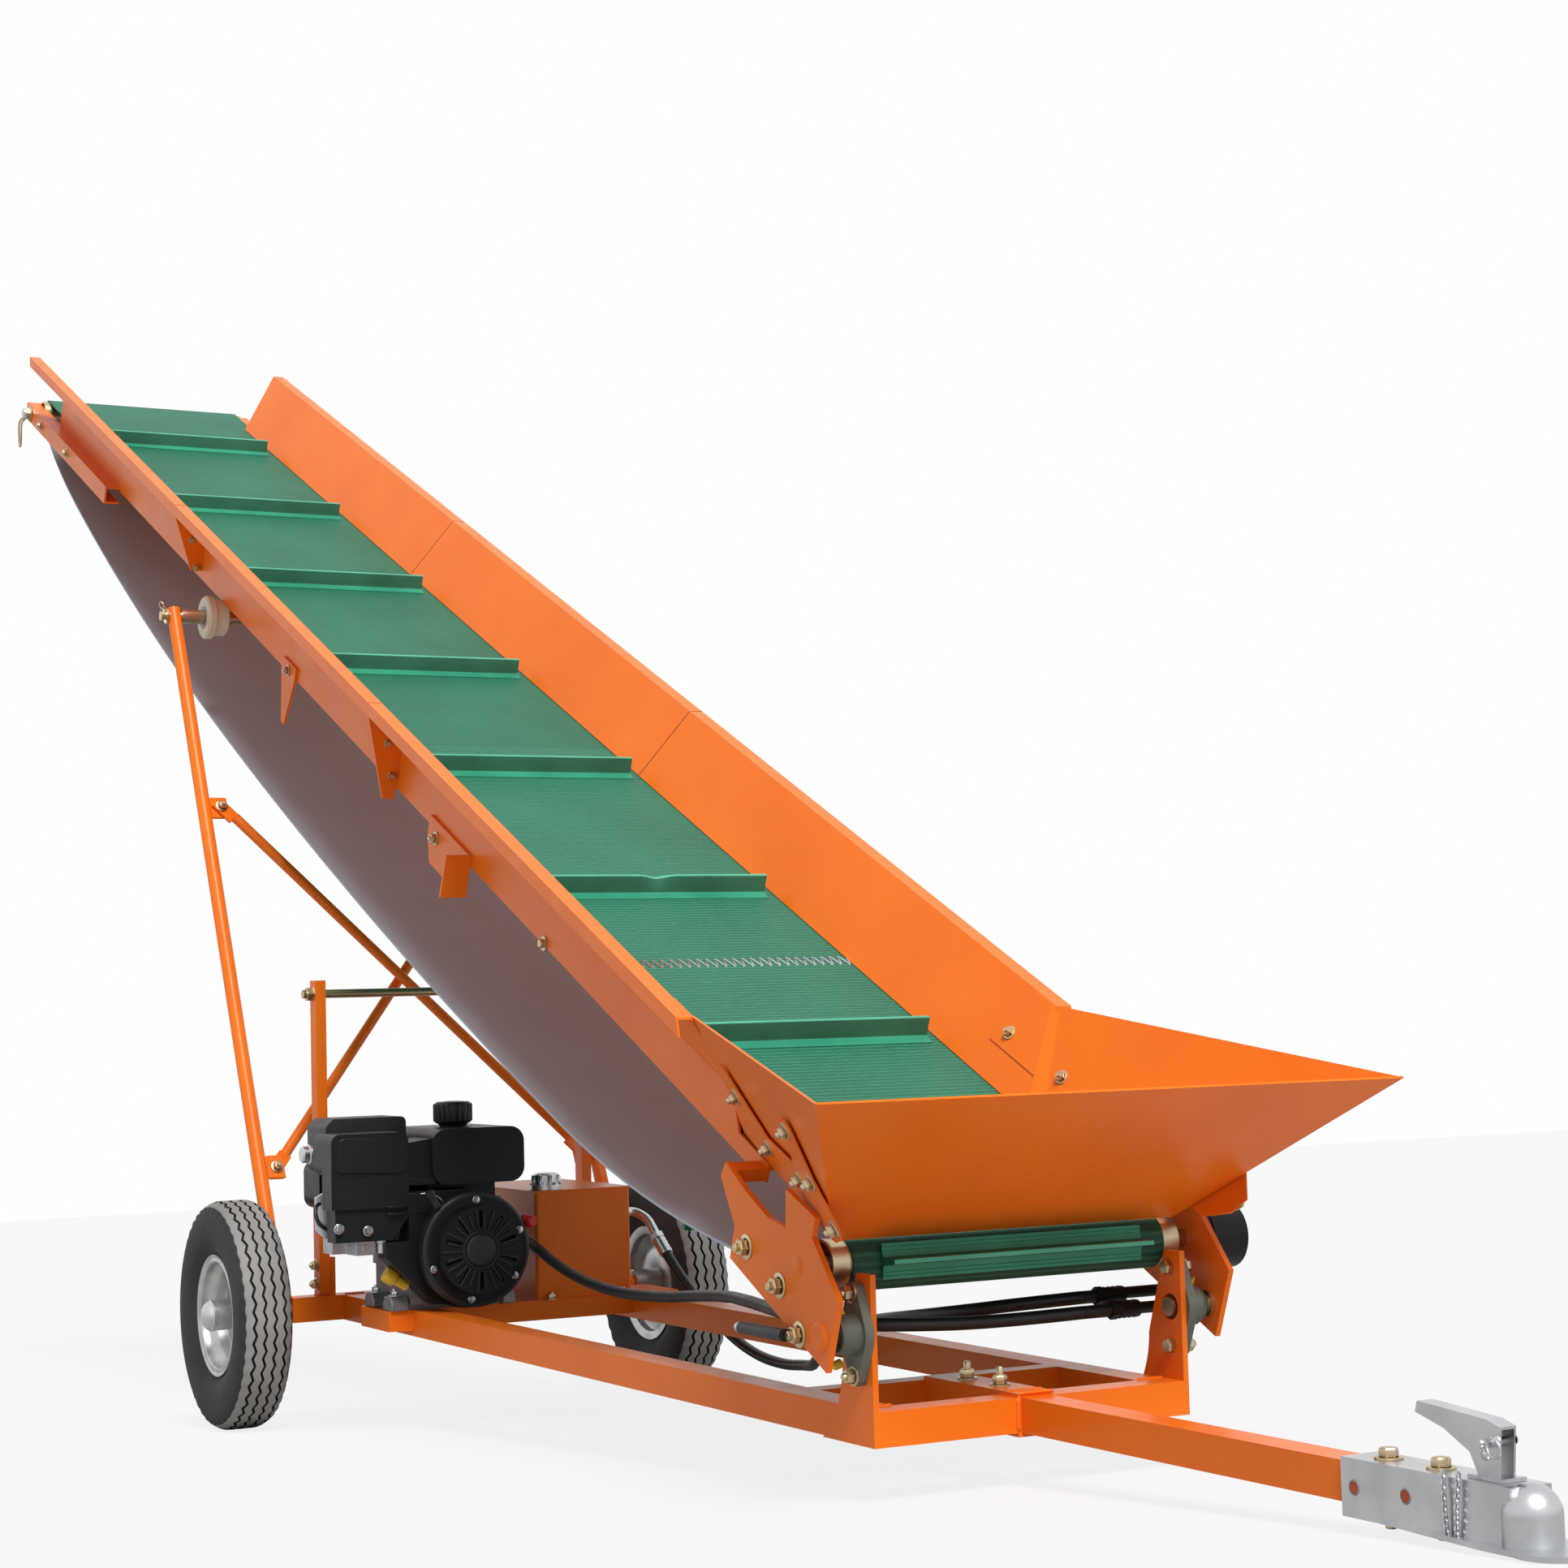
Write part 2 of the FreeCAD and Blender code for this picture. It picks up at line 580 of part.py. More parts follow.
# Wheels: a turned tyre on a turned rim with hub and cap
def wheels():
    track = wheelTrack
    halfTyre = s.tyreWidth / 2
    halfRim = s.rimWidth / 2
    seat = s.rimRadius - 12
    bead = s.rimRadius - 11.7
    for side, sign in sides:
        at = lambda size: sign * (track + size)
        inner = halfRim - s.rimGauge - 0.3
        tyre = turned("Tyre" + side, [
            (bead, at(-inner)),
            (s.rimRadius + 4, at(-inner)),
            ((s.rimRadius + s.tyreRadius) / 2, at(-halfTyre)),
            (s.tyreRadius, at(-halfTyre * 0.76)),
            (s.tyreRadius, at(halfTyre * 0.76)),
            ((s.rimRadius + s.tyreRadius) / 2, at(halfTyre)),
            (s.rimRadius + 4, at(inner)),
            (bead, at(inner)),
        ])
        node("tyre_" + side, wheelFrame, [tyre])
        gauge = s.rimGauge
        bore = s.spindleRadius + s.pinGap
        cap = s.capPast
        hubInner = legHalf + s.legRadius + s.hubClear - track
        rim = turned("Rim" + side, [
            (bore, at(hubInner)),
            (s.hubRadius, at(hubInner)),
            (s.hubRadius, at(-s.rimDish - gauge)),
            (seat - gauge, at(-s.rimDish - gauge)),
            (seat - gauge, at(-halfRim)),
            (s.rimRadius, at(-halfRim)),
            (s.rimRadius, at(-halfRim + gauge)),
            (seat, at(-halfRim + gauge)),
            (seat, at(halfRim - gauge)),
            (s.rimRadius, at(halfRim - gauge)),
            (s.rimRadius, at(halfRim)),
            (seat - gauge, at(halfRim)),
            (seat - gauge, at(-s.rimDish)),
            (s.hubRadius, at(-s.rimDish)),
            (s.hubRadius, at(cap - 12)),
            (s.hubRadius - 9, at(cap)),
            (1, at(cap)),
            (1, at(cap - 4)),
            (bore, at(cap - 4)),
        ])
        node("rim_" + side, wheelFrame, [rim])


# Boom structure: flared side panels with their rail strips, belt deck, cross members
def sidePanels():
    gauge = float(s.panelGauge)
    slope = math.atan2(float(s.flareHalf - s.skirtHalf), float(s.flangeHigh - s.skirtLow))
    shift = gauge / math.cos(slope)
    start = float(s.panelStart)
    bottom = float(s.skirtLow)
    top = float(s.flangeHigh)
    section = [
        (float(s.skirtHalf), bottom),
        (float(s.flareHalf), top),
        (float(s.flangeHalf), top),
        (float(s.flangeHalf), top - float(s.lipDeep)),
        (float(s.flangeHalf) - gauge, top - float(s.lipDeep)),
        (float(s.flangeHalf) - gauge, top - gauge),
        (float(s.flareHalf) + shift - gauge * math.tan(slope), top - gauge),
        (float(s.skirtHalf) + shift, bottom),
    ]
    end = float(panelEnd)
    long = float(panelTop) + 50
    endSlope = float(panelTop - panelEnd) / (top - bottom)
    startSlope = float(s.panelStartTop - s.panelStart) / (top - bottom)
    keep = slab([
        (-start - startSlope * (-20 - bottom), -20),
        (-start - startSlope * (top + 5 - bottom), top + 5),
        (-end - endSlope * (top + 5 - bottom), top + 5),
        (-end - endSlope * (-20 - bottom), -20),
    ], -500, 500)
    railTop = bottom + (float(s.railInner) - float(s.skirtHalf)) / math.tan(slope)
    for side, sign in sides:
        corners = [vec(0, sign * y, n) for y, n in section]
        sheetMetal = Part.Face(Part.makePolygon(corners + corners[:1])).extrude(vec(-long, 0, 0))
        low, high = span(sign, float(s.railInner), float(s.railInner + s.railGauge))
        rail = Part.makeBox(end - start, high - low, railTop - float(s.railLow), vec(-end, low, s.railLow))
        lowRail = Part.makeBox(end - float(s.railStart), high - low, bottom - 1.5 - float(s.railLow),
                               vec(-end, low, s.railLow))
        shape = sheetMetal.fuse(rail).common(keep).fuse(lowRail).removeSplitter()
        node("side_panel_" + side, boomFrame, [made("SidePanel" + side, shape)])


def deck():
    plate = block("DeckPlate", (-panelEnd, -s.railInner, s.deckLow),
                  (-s.railStart, s.railInner, s.deckLow + s.deckGauge))
    node("belt_deck", boomFrame, [plate])


def crossMembers():
    members = []
    for index, part in enumerate((0.096, 0.295, 0.503, 0.675, 0.833)):
        reach = s.headReach * part
        members.append(block("CrossMember%d" % index, (-reach - 40, -s.railInner, s.railLow),
                             (-reach, s.railInner, s.deckLow)))
    node("cross_members", boomFrame, members)


# End flanges where the boom's sections are bolted together, and two brackets below the rails
def boomBrackets():
    outer = float(s.railInner + s.railGauge) + 0.4
    lip = float(s.flangeHalf - s.panelGauge) - 0.4
    top = float(s.flangeHigh - s.panelGauge) - 0.4
    slope = float(s.flareHalf - s.skirtHalf) / float(s.flangeHigh - s.skirtLow)
    shift = float(s.skirtHalf) + float(s.panelGauge) * math.hypot(1, slope) + 0.5
    roller = float(s.legReach)
    clear = float(s.railLow - s.treadRadius + s.guideRadius + s.rollerClear)
    brackets = []
    for sign in (-1, 1):
        for reach, low in ((roller - float(s.jointBelow), -12), (roller + float(s.jointAbove), clear)):
            corners = [(outer, low), (outer + 22, low), (lip, top - 20), (lip, top),
                       (shift + slope * (top - float(s.skirtLow)), top),
                       (outer, float(s.skirtLow) + (outer - shift) / slope)]
            points = [vec(-reach, sign * y, n) for y, n in corners]
            face = Part.Face(Part.makePolygon(points + points[:1]))
            brackets.append(face.extrude(vec(-5, 0, 0)))
        start, end = span(sign, outer, outer + 5)
        reach = roller - float(s.angleBelow)
        angle = slab([(-reach - 95, 30), (-reach - 95, -6), (-reach - 70, -48), (-reach + 70, -48),
                      (-reach + 95, -6), (-reach + 95, 30)], start, end)
        low, high = span(sign, outer, outer + 46)
        leaf = Part.makeBox(5, high - low, 74, vec(-reach + 90, low, -44))
        brackets.append(angle.fuse(leaf))
        reach = roller - float(s.fingerBelow)
        brackets.append(slab([(-reach - 40, 34), (-reach - 40, 8), (-reach - 6, -88), (-reach + 12, -88),
                              (-reach + 40, 8), (-reach + 40, 34)], start, end))
    node("boom_brackets", boomFrame, [made("BoomBrackets", Part.makeCompound(brackets))])


# Tail plates outside the drum: outline along the boom as (reach, height) corners
tailOutline = [(228, 32), (234, 8), (173, -34), (169, -80), (-117, -86), (-111, 11),
               (-20, 53), (-20, 80), (64, 77), (46, 31), (96, 20), (166, 23)]


def tailPlates():
    pivot = boomFrame.inverse().multVec(vec(-s.pivotBack, 0, s.pivotHigh))
    inner = float(plateInner)
    gauge = float(s.plateGauge)
    for side, sign in sides:
        low, high = span(sign, inner, inner + gauge)
        plate = slab([(-reach, rise) for reach, rise in tailOutline], low, high)
        hole = Part.makeCylinder(float(s.axleRadius) + 0.1, gauge, vec(0, low, 0), vec(0, 1, 0))
        eye = Part.makeCylinder(float(s.pivotRadius), gauge, vec(pivot.x, low, pivot.z), vec(0, 1, 0))
        start, end = span(sign, float(s.railInner + s.railGauge), inner)
        spacer = Part.makeBox(23, end - start, 19, vec(-230, start, s.railLow + 1))
        whole = plate.cut([hole, eye]).fuse(spacer)
        node("tail_plate_" + side, boomFrame, [made("TailPlate" + side, whole)])
        stub = Part.makeCylinder(float(s.pivotRadius), inner + gauge + 3 - float(s.frameHalf) + 4,
                                 vec(pivot.x, sign * (float(s.frameHalf) - 4), pivot.z), vec(0, sign, 0))
        boss = Part.makeCylinder(float(s.pivotRadius) + 6, 6,
                                 vec(pivot.x, sign * (inner - 6), pivot.z), vec(0, sign, 0))
        node("pivot_stub_" + side, boomFrame, [made("PivotStub" + side, stub.fuse(boss))])


# Hopper: a front sheet and two wings, each a flat sheet on four corners
def plate(corners, thickness):
    normal = (corners[1] - corners[0]).cross(corners[3] - corners[0]).normalize()
    return Part.Face(Part.makePolygon(corners + corners[:1])).extrude(normal * thickness)


def hopper():
    gauge = float(s.hopperGauge)
    into = boomFrame.inverse()
    lip = into.multVec(vec(s.hopperReach, 0, s.hopperHigh))
    foot = into.multVec(vec(-s.hopperFoot, 0, s.hopperFootHigh))
    backTop = vec(-s.panelStartTop + s.slideGap, 0, s.flangeHigh)
    wings = []
    for side, sign in sides:
        a = vec(backTop.x, sign * float(s.flareHalf), backTop.z)
        b = vec(lip.x, sign * float(s.hopperHalf), lip.z)
        c = vec(foot.x, sign * float(s.hopperFootHalf), foot.z)
        normal = (b - a).cross(c - a)
        reach = float(s.panelStart - s.slideGap)
        d = vec(-reach, 0, foot.z)
        d.y = a.y - (normal.x * (d.x - a.x) + normal.z * (d.z - a.z)) / normal.y
        corners = [a, b, c, d] if sign < 0 else [d, c, b, a]
        wings.append(plate(corners, gauge))
        node("hopper_wing_" + side, boomFrame, [made("HopperWing" + side, wings[-1])])
    half = float(s.hopperHalf)
    footHalf = float(s.hopperFootHalf)
    corners = [vec(lip.x, -half, lip.z), vec(lip.x, half, lip.z),
               vec(foot.x, footHalf, foot.z), vec(foot.x, -footHalf, foot.z)]
    front = plate(corners, gauge).cut(wings)
    front = max(front.Solids, key=lambda solid: solid.Volume)
    node("hopper_front", boomFrame, [made("HopperFront", front)])


# Drums on their shafts, belt loop with its cleats
def drums():
    reach = float(plateInner + s.plateGauge)
    for name, place in (("tail_drum", 0.0), ("head_drum", float(s.headReach))):
        shell = Part.makeCylinder(float(s.drumRadius), 2 * float(s.drumHalf),
                                  vec(-place, -s.drumHalf, 0), vec(0, 1, 0))
        shaft = Part.makeCylinder(float(s.axleRadius), 2 * reach, vec(-place, -reach, 0), vec(0, 1, 0))
        node(name, boomFrame, [made(name.replace("_", ""), shell.fuse(shaft))])


def cleat(place, way):
    # place is on the belt's outer face, way points out of it; both are in the XZ plane
    along = FreeCAD.Vector(way.z, 0, -way.x)
    corners = []
    for across, up in ((-0.5, -0.2), (-0.5, 2.5), (-0.16, 4.0), (-0.1, 1.0), (0.1, 1.0),
                       (0.16, 4.0), (0.5, 2.5), (0.5, -0.2)):
        if abs(across) == 0.1:
            spot = along * (across * float(s.cleatWeb) * 5 * 0.7) + way * float(s.cleatHigh)
        elif abs(across) == 0.16:
            spot = along * (across / 0.32 * float(s.cleatWeb)) + way * up
        else:
            spot = along * (across * float(s.cleatBase)) + way * up
        corners.append(((place + spot).x, (place + spot).z))
    return slab(corners, -s.cleatHalf, s.cleatHalf)


def beltLoop():
    middle = float(s.drumRadius) + float(s.beltGauge) / 2
    half = float(s.beltGauge) / 2
    head = float(s.headReach)
    tailTurn = math.radians(float(s.sagWrap))
    headTurn = math.radians(float(s.headWrap))

    def ring(centre, angle, radius):
        return vec(-centre + radius * math.cos(angle), 0, radius * math.sin(angle))

    def carryEdge(radius):
        tailEnd = -math.pi / 2 + tailTurn
        headEnd = math.pi * 1.5 - headTurn
        return [
            Part.Arc(ring(0, tailEnd, radius), ring(0, 0, radius), ring(0, math.pi / 2, radius)),
            Part.LineSegment(ring(0, math.pi / 2, radius), ring(head, math.pi / 2, radius)),
            Part.Arc(ring(head, math.pi / 2, radius), ring(head, math.pi, radius),
                     ring(head, headEnd, radius)),
        ]

    outer = carryEdge(middle + half)
    inner = carryEdge(middle - half)
    edges = [edge.toShape() for edge in outer + inner]
    edges.append(Part.LineSegment(outer[0].StartPoint, inner[0].StartPoint).toShape())
    edges.append(Part.LineSegment(outer[-1].EndPoint, inner[-1].EndPoint).toShape())
    face = Part.Face(Part.Wire(Part.__sortEdges__(edges)))
    face.translate(vec(0, -s.beltHalf, 0))
    carry = face.extrude(vec(0, 2 * float(s.beltHalf), 0))
    outward = middle + half
    turn = math.pi / 2 - math.radians(float(s.cleatTurn))
    lugs = [cleat(ring(0, turn, outward), ring(0, turn, 1))]
    count = int((head - float(s.cleatFirst)) / float(s.cleatPitch)) + 1
    for index in range(count):
        reach = float(s.cleatFirst) + index * float(s.cleatPitch)
        lugs.append(cleat(vec(-reach, 0, outward), FreeCAD.Vector(0, 0, 1)))
    node("belt_carry", boomFrame, [made("BeltCarry", carry.fuse(lugs))])

    # the slack return run hangs in a bow between the drums
    start = ring(0, -math.pi / 2 + tailTurn, middle)
    end = ring(head, math.pi * 1.5 - headTurn, middle)
    down = FreeCAD.Vector(-math.cos(tailTurn), 0, -math.sin(tailTurn))
    rise = FreeCAD.Vector(math.cos(headTurn), 0, -math.sin(headTurn))
    sag = [(0.2975, 0.0586), (0.4989, 0.0609), (0.6865, 0.0554), (0.8467, 0.0416)]
    bow = [start, start + down * 0.11 * head]
    bow += [vec(-head * part, 0, -head * depth) for part, depth in sag]
    bow += [end + rise * 0.0252 * head, end]
    path = softPath([tuple(point) for point in bow])[0]
    sideOne = path.makeOffset2D(half, 0, False, True)
    sideTwo = path.makeOffset2D(-half, 0, False, True)
    rims = sideOne.Edges + sideTwo.Edges
    ends = []
    for index in (0, -1):
        one = [sideOne.OrderedVertexes[index].Point, sideTwo.OrderedVertexes[index].Point]
        ends.append(Part.LineSegment(one[0], one[1]).toShape())
    face = Part.Face(Part.Wire(Part.__sortEdges__(rims + ends)))
    face.translate(vec(0, -s.beltHalf, 0))
    back = face.extrude(vec(0, 2 * float(s.beltHalf), 0))
    lugs = []
    gap = float(s.cleatPitch)
    distance = float(s.cleatReturn)
    while distance < path.Length - 150:
        place, way = pathSpot(path, distance)
        lugs.append(cleat(place + way * half, way))
        distance += gap
    node("belt_return", boomFrame, [made("BeltReturn", back.fuse(lugs))])


# Point at a distance along a path, and the way down and out of it
def pathSpot(path, distance):
    for edge in path.OrderedEdges:
        if distance <= edge.Length:
            spot = edge.getParameterByLength(distance)
            tangent = edge.tangentAt(spot)
            way = FreeCAD.Vector(tangent.z, 0, -tangent.x)
            if way.z > 0:
                way = way * -1
            return edge.valueAt(spot), way
        distance -= edge.Length
    return path.OrderedEdges[-1].lastVertex().Point, FreeCAD.Vector(0, 0, -1)


def takeUps():
    for side, sign in sides:
        low, high = span(sign, s.railInner + s.railGauge, s.railInner + s.railGauge + 34)
        channel = block("TakeUp" + side, (-s.headReach - 40, low, -20), (-s.headReach + 750, high, 20))
        slot = rod("TakeUpSlot" + side, "Y", s.axleRadius + 0.1,
                   (-s.headReach, low - 1, 0), high - low + 2)
        start, end = span(sign, s.railInner + s.railGauge, s.railInner + s.railGauge + 30)
        hollow = block("TakeUpHollow" + side, (-s.headReach + 40, start, -15), (-s.headReach + 770, end, 15))
        body = cut("TakeUpBody" + side, cut("TakeUpChannel" + side, channel, hollow), slot)
        node("takeup_" + side, boomFrame, [body])


def hydraulicMotor():
    face = float(plateInner + s.plateGauge) + 0.3
    shape = Part.makeCylinder(float(s.motorRadius), float(s.motorLong), vec(0, face, 0), vec(0, 1, 0))
    bore = Part.makeCylinder(float(s.axleRadius) + 0.1, 10, vec(0, face, 0), vec(0, 1, 0))
    port = Part.makeBox(70, 44, 30, vec(-45, face + 20, -s.motorRadius - 16))
    pipes = []
    for along in (11, -27):
        high = -98 if along > 0 else -96
        pipes.append(pipe([(along, s.hoseEnd, high), (along, face + 20, high),
                           (along, face + 42, high + 22), (along, face + 42, -s.motorRadius)], 8))
    shape = shape.fuse([port] + pipes).cut(bore)
    node("hydraulic_motor", boomFrame, [made("HydraulicMotor", shape)])


# Prop legs with their crossed braces, top shaft and stepped rollers
def legs():
    half = float(legHalf)
    radius = float(s.legRadius)
    for side, sign in sides:
        tube = Part.makeCylinder(radius, legLong + 16 - 10, vec(0, sign * half, 10))
        bush = Part.makeCylinder(float(s.legBush), 2 * radius, vec(0, sign * half - radius, 0), vec(0, 1, 0))
        ears = []
        thick = float(s.braceFlat)
        for reach in (float(s.earLow), float(s.earHigh)):
            low, high = span(sign, half - radius - 34, half - 5)
            ears.append(Part.makeBox(thick, high - low, 44, vec(-thick / 2, low, reach - 22)))
        foot = Part.makeCylinder(float(s.spindleRadius + s.pinGap), 60,
                                 vec(0, sign * half - 30, 0), vec(0, 1, 0))
        eye = Part.makeCylinder(float(s.shaftRadius + s.pinGap), 60,
                                vec(0, sign * half - 30, legLong), vec(0, 1, 0))
        shape = tube.fuse([bush] + ears).cut([foot, eye])
        node("leg_" + side, legFrame, [made("Leg" + side, shape)])


def braces():
    thick = float(s.braceFlat)
    radius = float(s.braceRadius)
    edge = float(legHalf - s.legRadius) - 20
    lowEar = float(s.earLow)
    highEar = float(s.earHigh)
    for name, sign in (("brace_front", 1), ("brace_rear", -1)):
        foot = vec(0, sign * edge, lowEar)
        top = vec(0, -sign * edge, highEar)
        way = (top - foot).normalize()
        length = (top - foot).Length
        tube = Part.makeCylinder(radius, length - 70, foot + way * 35, way)
        ends = []
        for place in (foot - way * 14, top - way * 36):
            flat = Part.makeBox(thick, 26, 50, vec(-thick / 2, -13, 0))
            flat.Placement = FreeCAD.Placement(place, FreeCAD.Rotation(FreeCAD.Vector(0, 0, 1), way))
            ends.append(flat)
        tube.translate(vec(sign * (radius - thick / 2), 0, 0))
        shape = tube.fuse(ends)
        shape.translate(vec(sign * (thick + 0.3), 0, 0))
        node(name, legFrame, [made(name.replace("_", ""), shape)])


def legShaft():
    reach = float(legHalf + s.shaftPast)
    shaft = Part.makeCylinder(float(s.shaftRadius), 2 * reach, vec(0, -reach, legLong), vec(0, 1, 0))
    sleeves = []
    inner = float(s.guideOuter) + 0.5
    outer = float(legHalf - s.legRadius) - 0.5
    collar = float(s.treadInner) - 0.5
    for start, length in ((inner, outer - inner), (-outer, outer - inner), (collar - 12, 12), (-collar, 12)):
        sleeves.append(Part.makeCylinder(float(s.shaftRadius) + 5, length,
                                         vec(0, start, legLong), vec(0, 1, 0)))
    node("leg_shaft", legFrame, [made("LegShaft", shaft.fuse(sleeves))])


def legRollers():
    shift = FreeCAD.Placement(vec(0, 0, legLong), FreeCAD.Rotation())
    bore = s.shaftRadius + s.pinGap
    for side, sign in sides:
        roller = turned("Roller" + side, [
            (bore, sign * s.treadInner),
            (s.treadRadius - 4, sign * s.treadInner),
            (s.treadRadius, sign * (s.treadInner + 4)),
            (s.treadRadius, sign * s.treadOuter),
            (s.guideRadius, sign * s.treadOuter),
            (s.guideRadius, sign * (s.guideOuter - 4)),
            (s.guideRadius - 4, sign * s.guideOuter),
            (bore, sign * s.guideOuter),
        ])
        node("leg_roller_" + side, legFrame.multiply(shift), [roller])


# Engine with its finned cylinder, covers, tank, air cleaner and silencer
def engine():
    side = -s.crankSide
    case = block("EngineCase", (-s.recoilFront - 275, side - 90, s.tubeSide + 10),
                 (-s.recoilFront - 105, side + 82, s.tubeSide + 190))
    base = block("EngineBase", (-s.recoilFront - 245, side - 108, s.tubeSide),
                 (-s.recoilFront - 120, side + 104, s.tubeSide + 10))
    cover = rod("EngineCover", "X", 72, (-s.recoilFront - 290, side, s.crankHigh), 16)
    node("engine_crankcase", machineFrame, [fuse("EngineCrankcase", [case, base, cover])])

    shell = rod("RecoilShell", "X", s.recoilRadius, (-s.recoilFront - 60, side, s.crankHigh), 40)
    dish = rod("RecoilDish", "X", s.recoilRadius - 22, (-s.recoilFront - 22, side, s.crankHigh), 22)
    slots = []
    for index in range(10):
        slot = Part.makeBox(14, 6, 30, vec(-10, -3, 38))
        turn = FreeCAD.Rotation(FreeCAD.Vector(1, 0, 0), 36 * index)
        slot.Placement = FreeCAD.Placement(vec(-s.recoilFront, side, s.crankHigh), turn)
        slots.append(slot)
    cover = cut("RecoilCut", fuse("RecoilBody", [shell, dish]), made("RecoilSlots", Part.makeCompound(slots)))
    node("recoil_cover", machineFrame, [cover])
    engineCovers()
    engineTop(engineCylinder())


# A prism along X from an outline in the YZ plane, measured from the crank axis
def crossPrism(corners, back, front):
    side = -float(s.crankSide)
    high = float(s.crankHigh)
    points = [vec(back, side + y, high + z) for y, z in corners]
    face = Part.Face(Part.makePolygon(points + points[:1]))
    return face.extrude(vec(float(front) - float(back), 0, 0))


def rounded(shape, radius):
    edges = [edge for edge in shape.Edges if edge.BoundBox.XLength > 30]
    return shape.makeFillet(radius, edges)


def engineCovers():
    back = -float(s.recoilFront) - 104.7
    ring = Part.makeCylinder(float(s.recoilRadius) + 6, 44,
                             vec(back, -s.crankSide, s.crankHigh), vec(1, 0, 0))
    hood = crossPrism([(0, 102), (-108, 102), (-108, 18), (-152, 18), (-148, -10), (-64, -92), (0, -98)],
                 back, back + 44)
    node("engine_shroud", machineFrame, [made("EngineShroud", ring.fuse(hood))])
    top = rounded(crossPrism([(-248, 134), (-248, 206), (-108.3, 206), (-108.3, 134)],
                             back - 44, back + 49), 16)
    front = crossPrism([(-248, 78), (-248, 150), (-108.3, 150), (-108.3, 78)], back + 1, back + 48)
    foot = crossPrism([(-240, 22), (-240, 80), (-108.3, 80), (-108.3, 60), (-136, 22)], back + 1, back + 42)
    node("engine_cover", machineFrame, [made("CoverBody", top.fuse([front, foot]))])


def engineCylinder():
    # built upright about the crank axis, then laid over to the near side
    front = -float(s.recoilFront) - 106
    fins = [Part.makeBox(84, 76, 112, vec(front - 102, -38, 92))]
    for index in range(9):
        fins.append(Part.makeBox(110, 94, 3, vec(front - 112, -47, 100 + 9 * index)))
    head = Part.makeBox(100, 84, 22, vec(front - 106, -42, 180))
    cap = Part.makeBox(80, 62, 28, vec(front - 96, -31, 202))
    shape = fins[0].fuse(fins[1:] + [head, cap])
    case = Part.makeBox(400, 172, 180, vec(front - 300, -90, -95))
    shape.Placement = FreeCAD.Placement(
        vec(0, -s.crankSide, s.crankHigh), FreeCAD.Rotation(FreeCAD.Vector(1, 0, 0), 65))
    case.translate(vec(0, -s.crankSide, s.crankHigh))
    barrel = max(shape.cut(case).Solids, key=lambda solid: solid.Volume)
    node("engine_cylinder", machineFrame, [made("EngineCylinder", barrel)])
    return barrel


def engineTop(barrel):
    side = -float(s.crankSide)
    front = -float(s.recoilFront)
    top = float(s.tubeSide) + 190
    high = top - float(s.crankHigh)
    tank = rounded(crossPrism([(-62, high + 26), (-62, high + 122), (110, high + 122), (110, high + 26)],
                         front - 262, front - 62), 26)
    step = crossPrism([(-108, high + 40), (-108, high + 100), (-50, high + 108), (-50, high + 36)],
                 front - 152, front - 72)
    straps = [Part.makeBox(18, 120, 30, vec(front - x, side - 46, top)) for x in (240, 130)]
    node("fuel_tank", machineFrame, [made("FuelTank", tank.fuse([step] + straps))])
    cap = Part.makeCylinder(27, 20, vec(front - 165, side + 18, top + 122.3))
    node("tank_cap", machineFrame, [made("TankCap", cap)])
    box = rounded(crossPrism([(-222, high + 52), (-222, high + 130), (-208, high + 144), (-74, high + 144),
                         (-74, high + 52)], front - 252, front - 156), 10)
    foot = Part.makeBox(60, 16, 60, vec(front - 235, side - 90, top)).cut(barrel)
    node("air_cleaner", machineFrame, [made("AirCleaner", box.fuse(foot).removeSplitter())])
    box = rounded(crossPrism([(-193, high - 20), (-193, high + 65), (-63, high + 65), (-63, high - 20)],
                        front - 360, front - 276), 20)
    outlet = Part.makeCylinder(12, 70, vec(front - 278, side - 128, top + 5), vec(1, 0, 0)).cut(barrel)
    whole = box.fuse(max(outlet.Solids, key=lambda solid: solid.Volume))
    node("muffler", machineFrame, [made("Muffler", whole.removeSplitter())])


# Pump behind the engine, oil tank beside it with its breather cap and elbow
def hydraulics():
    side = -s.crankSide
    back = -s.recoilFront - 290.3
    bell = rod("PumpBell", "X", 56, (back - 46, side, s.crankHigh), 46)
    body = block("PumpBody", (back - 130, side - 42, s.crankHigh - 46),
                 (back - 46, side + 42, s.crankHigh + 46))
    node("hydraulic_pump", machineFrame, [fuse("HydraulicPump", [bell, body])])
    tank = Part.makeBox(330, 185, 192, vec(-s.padFront - 335, 3, s.tubeSide))
    upright = [edge for edge in tank.Edges if edge.BoundBox.ZLength > 100]
    tank = tank.makeFillet(6, upright)
    lid = Part.makeBox(336, 191, 3, vec(-s.padFront - 338, 0, s.tubeSide + 189))
    node("oil_tank", machineFrame, [made("OilTank", tank.fuse(lid))])
    spot = vec(-s.padFront - 36, 37, s.tubeSide + 192.3)
    flange = Part.makeCylinder(30, 9, spot)
    cap = Part.makeCylinder(23, 26, spot)
    elbow = pipe([(-s.padFront - 37, 188.3, 188), (-s.padFront - 37, 212, 188),
                  (-s.padFront - 10, 225, 176), (-s.padFront + 27, 227, 142)], 8)
    fittings = Part.makeCompound([flange.fuse(cap), elbow])
    node("oil_tank_fittings", machineFrame, [made("OilTankFittings", fittings)])


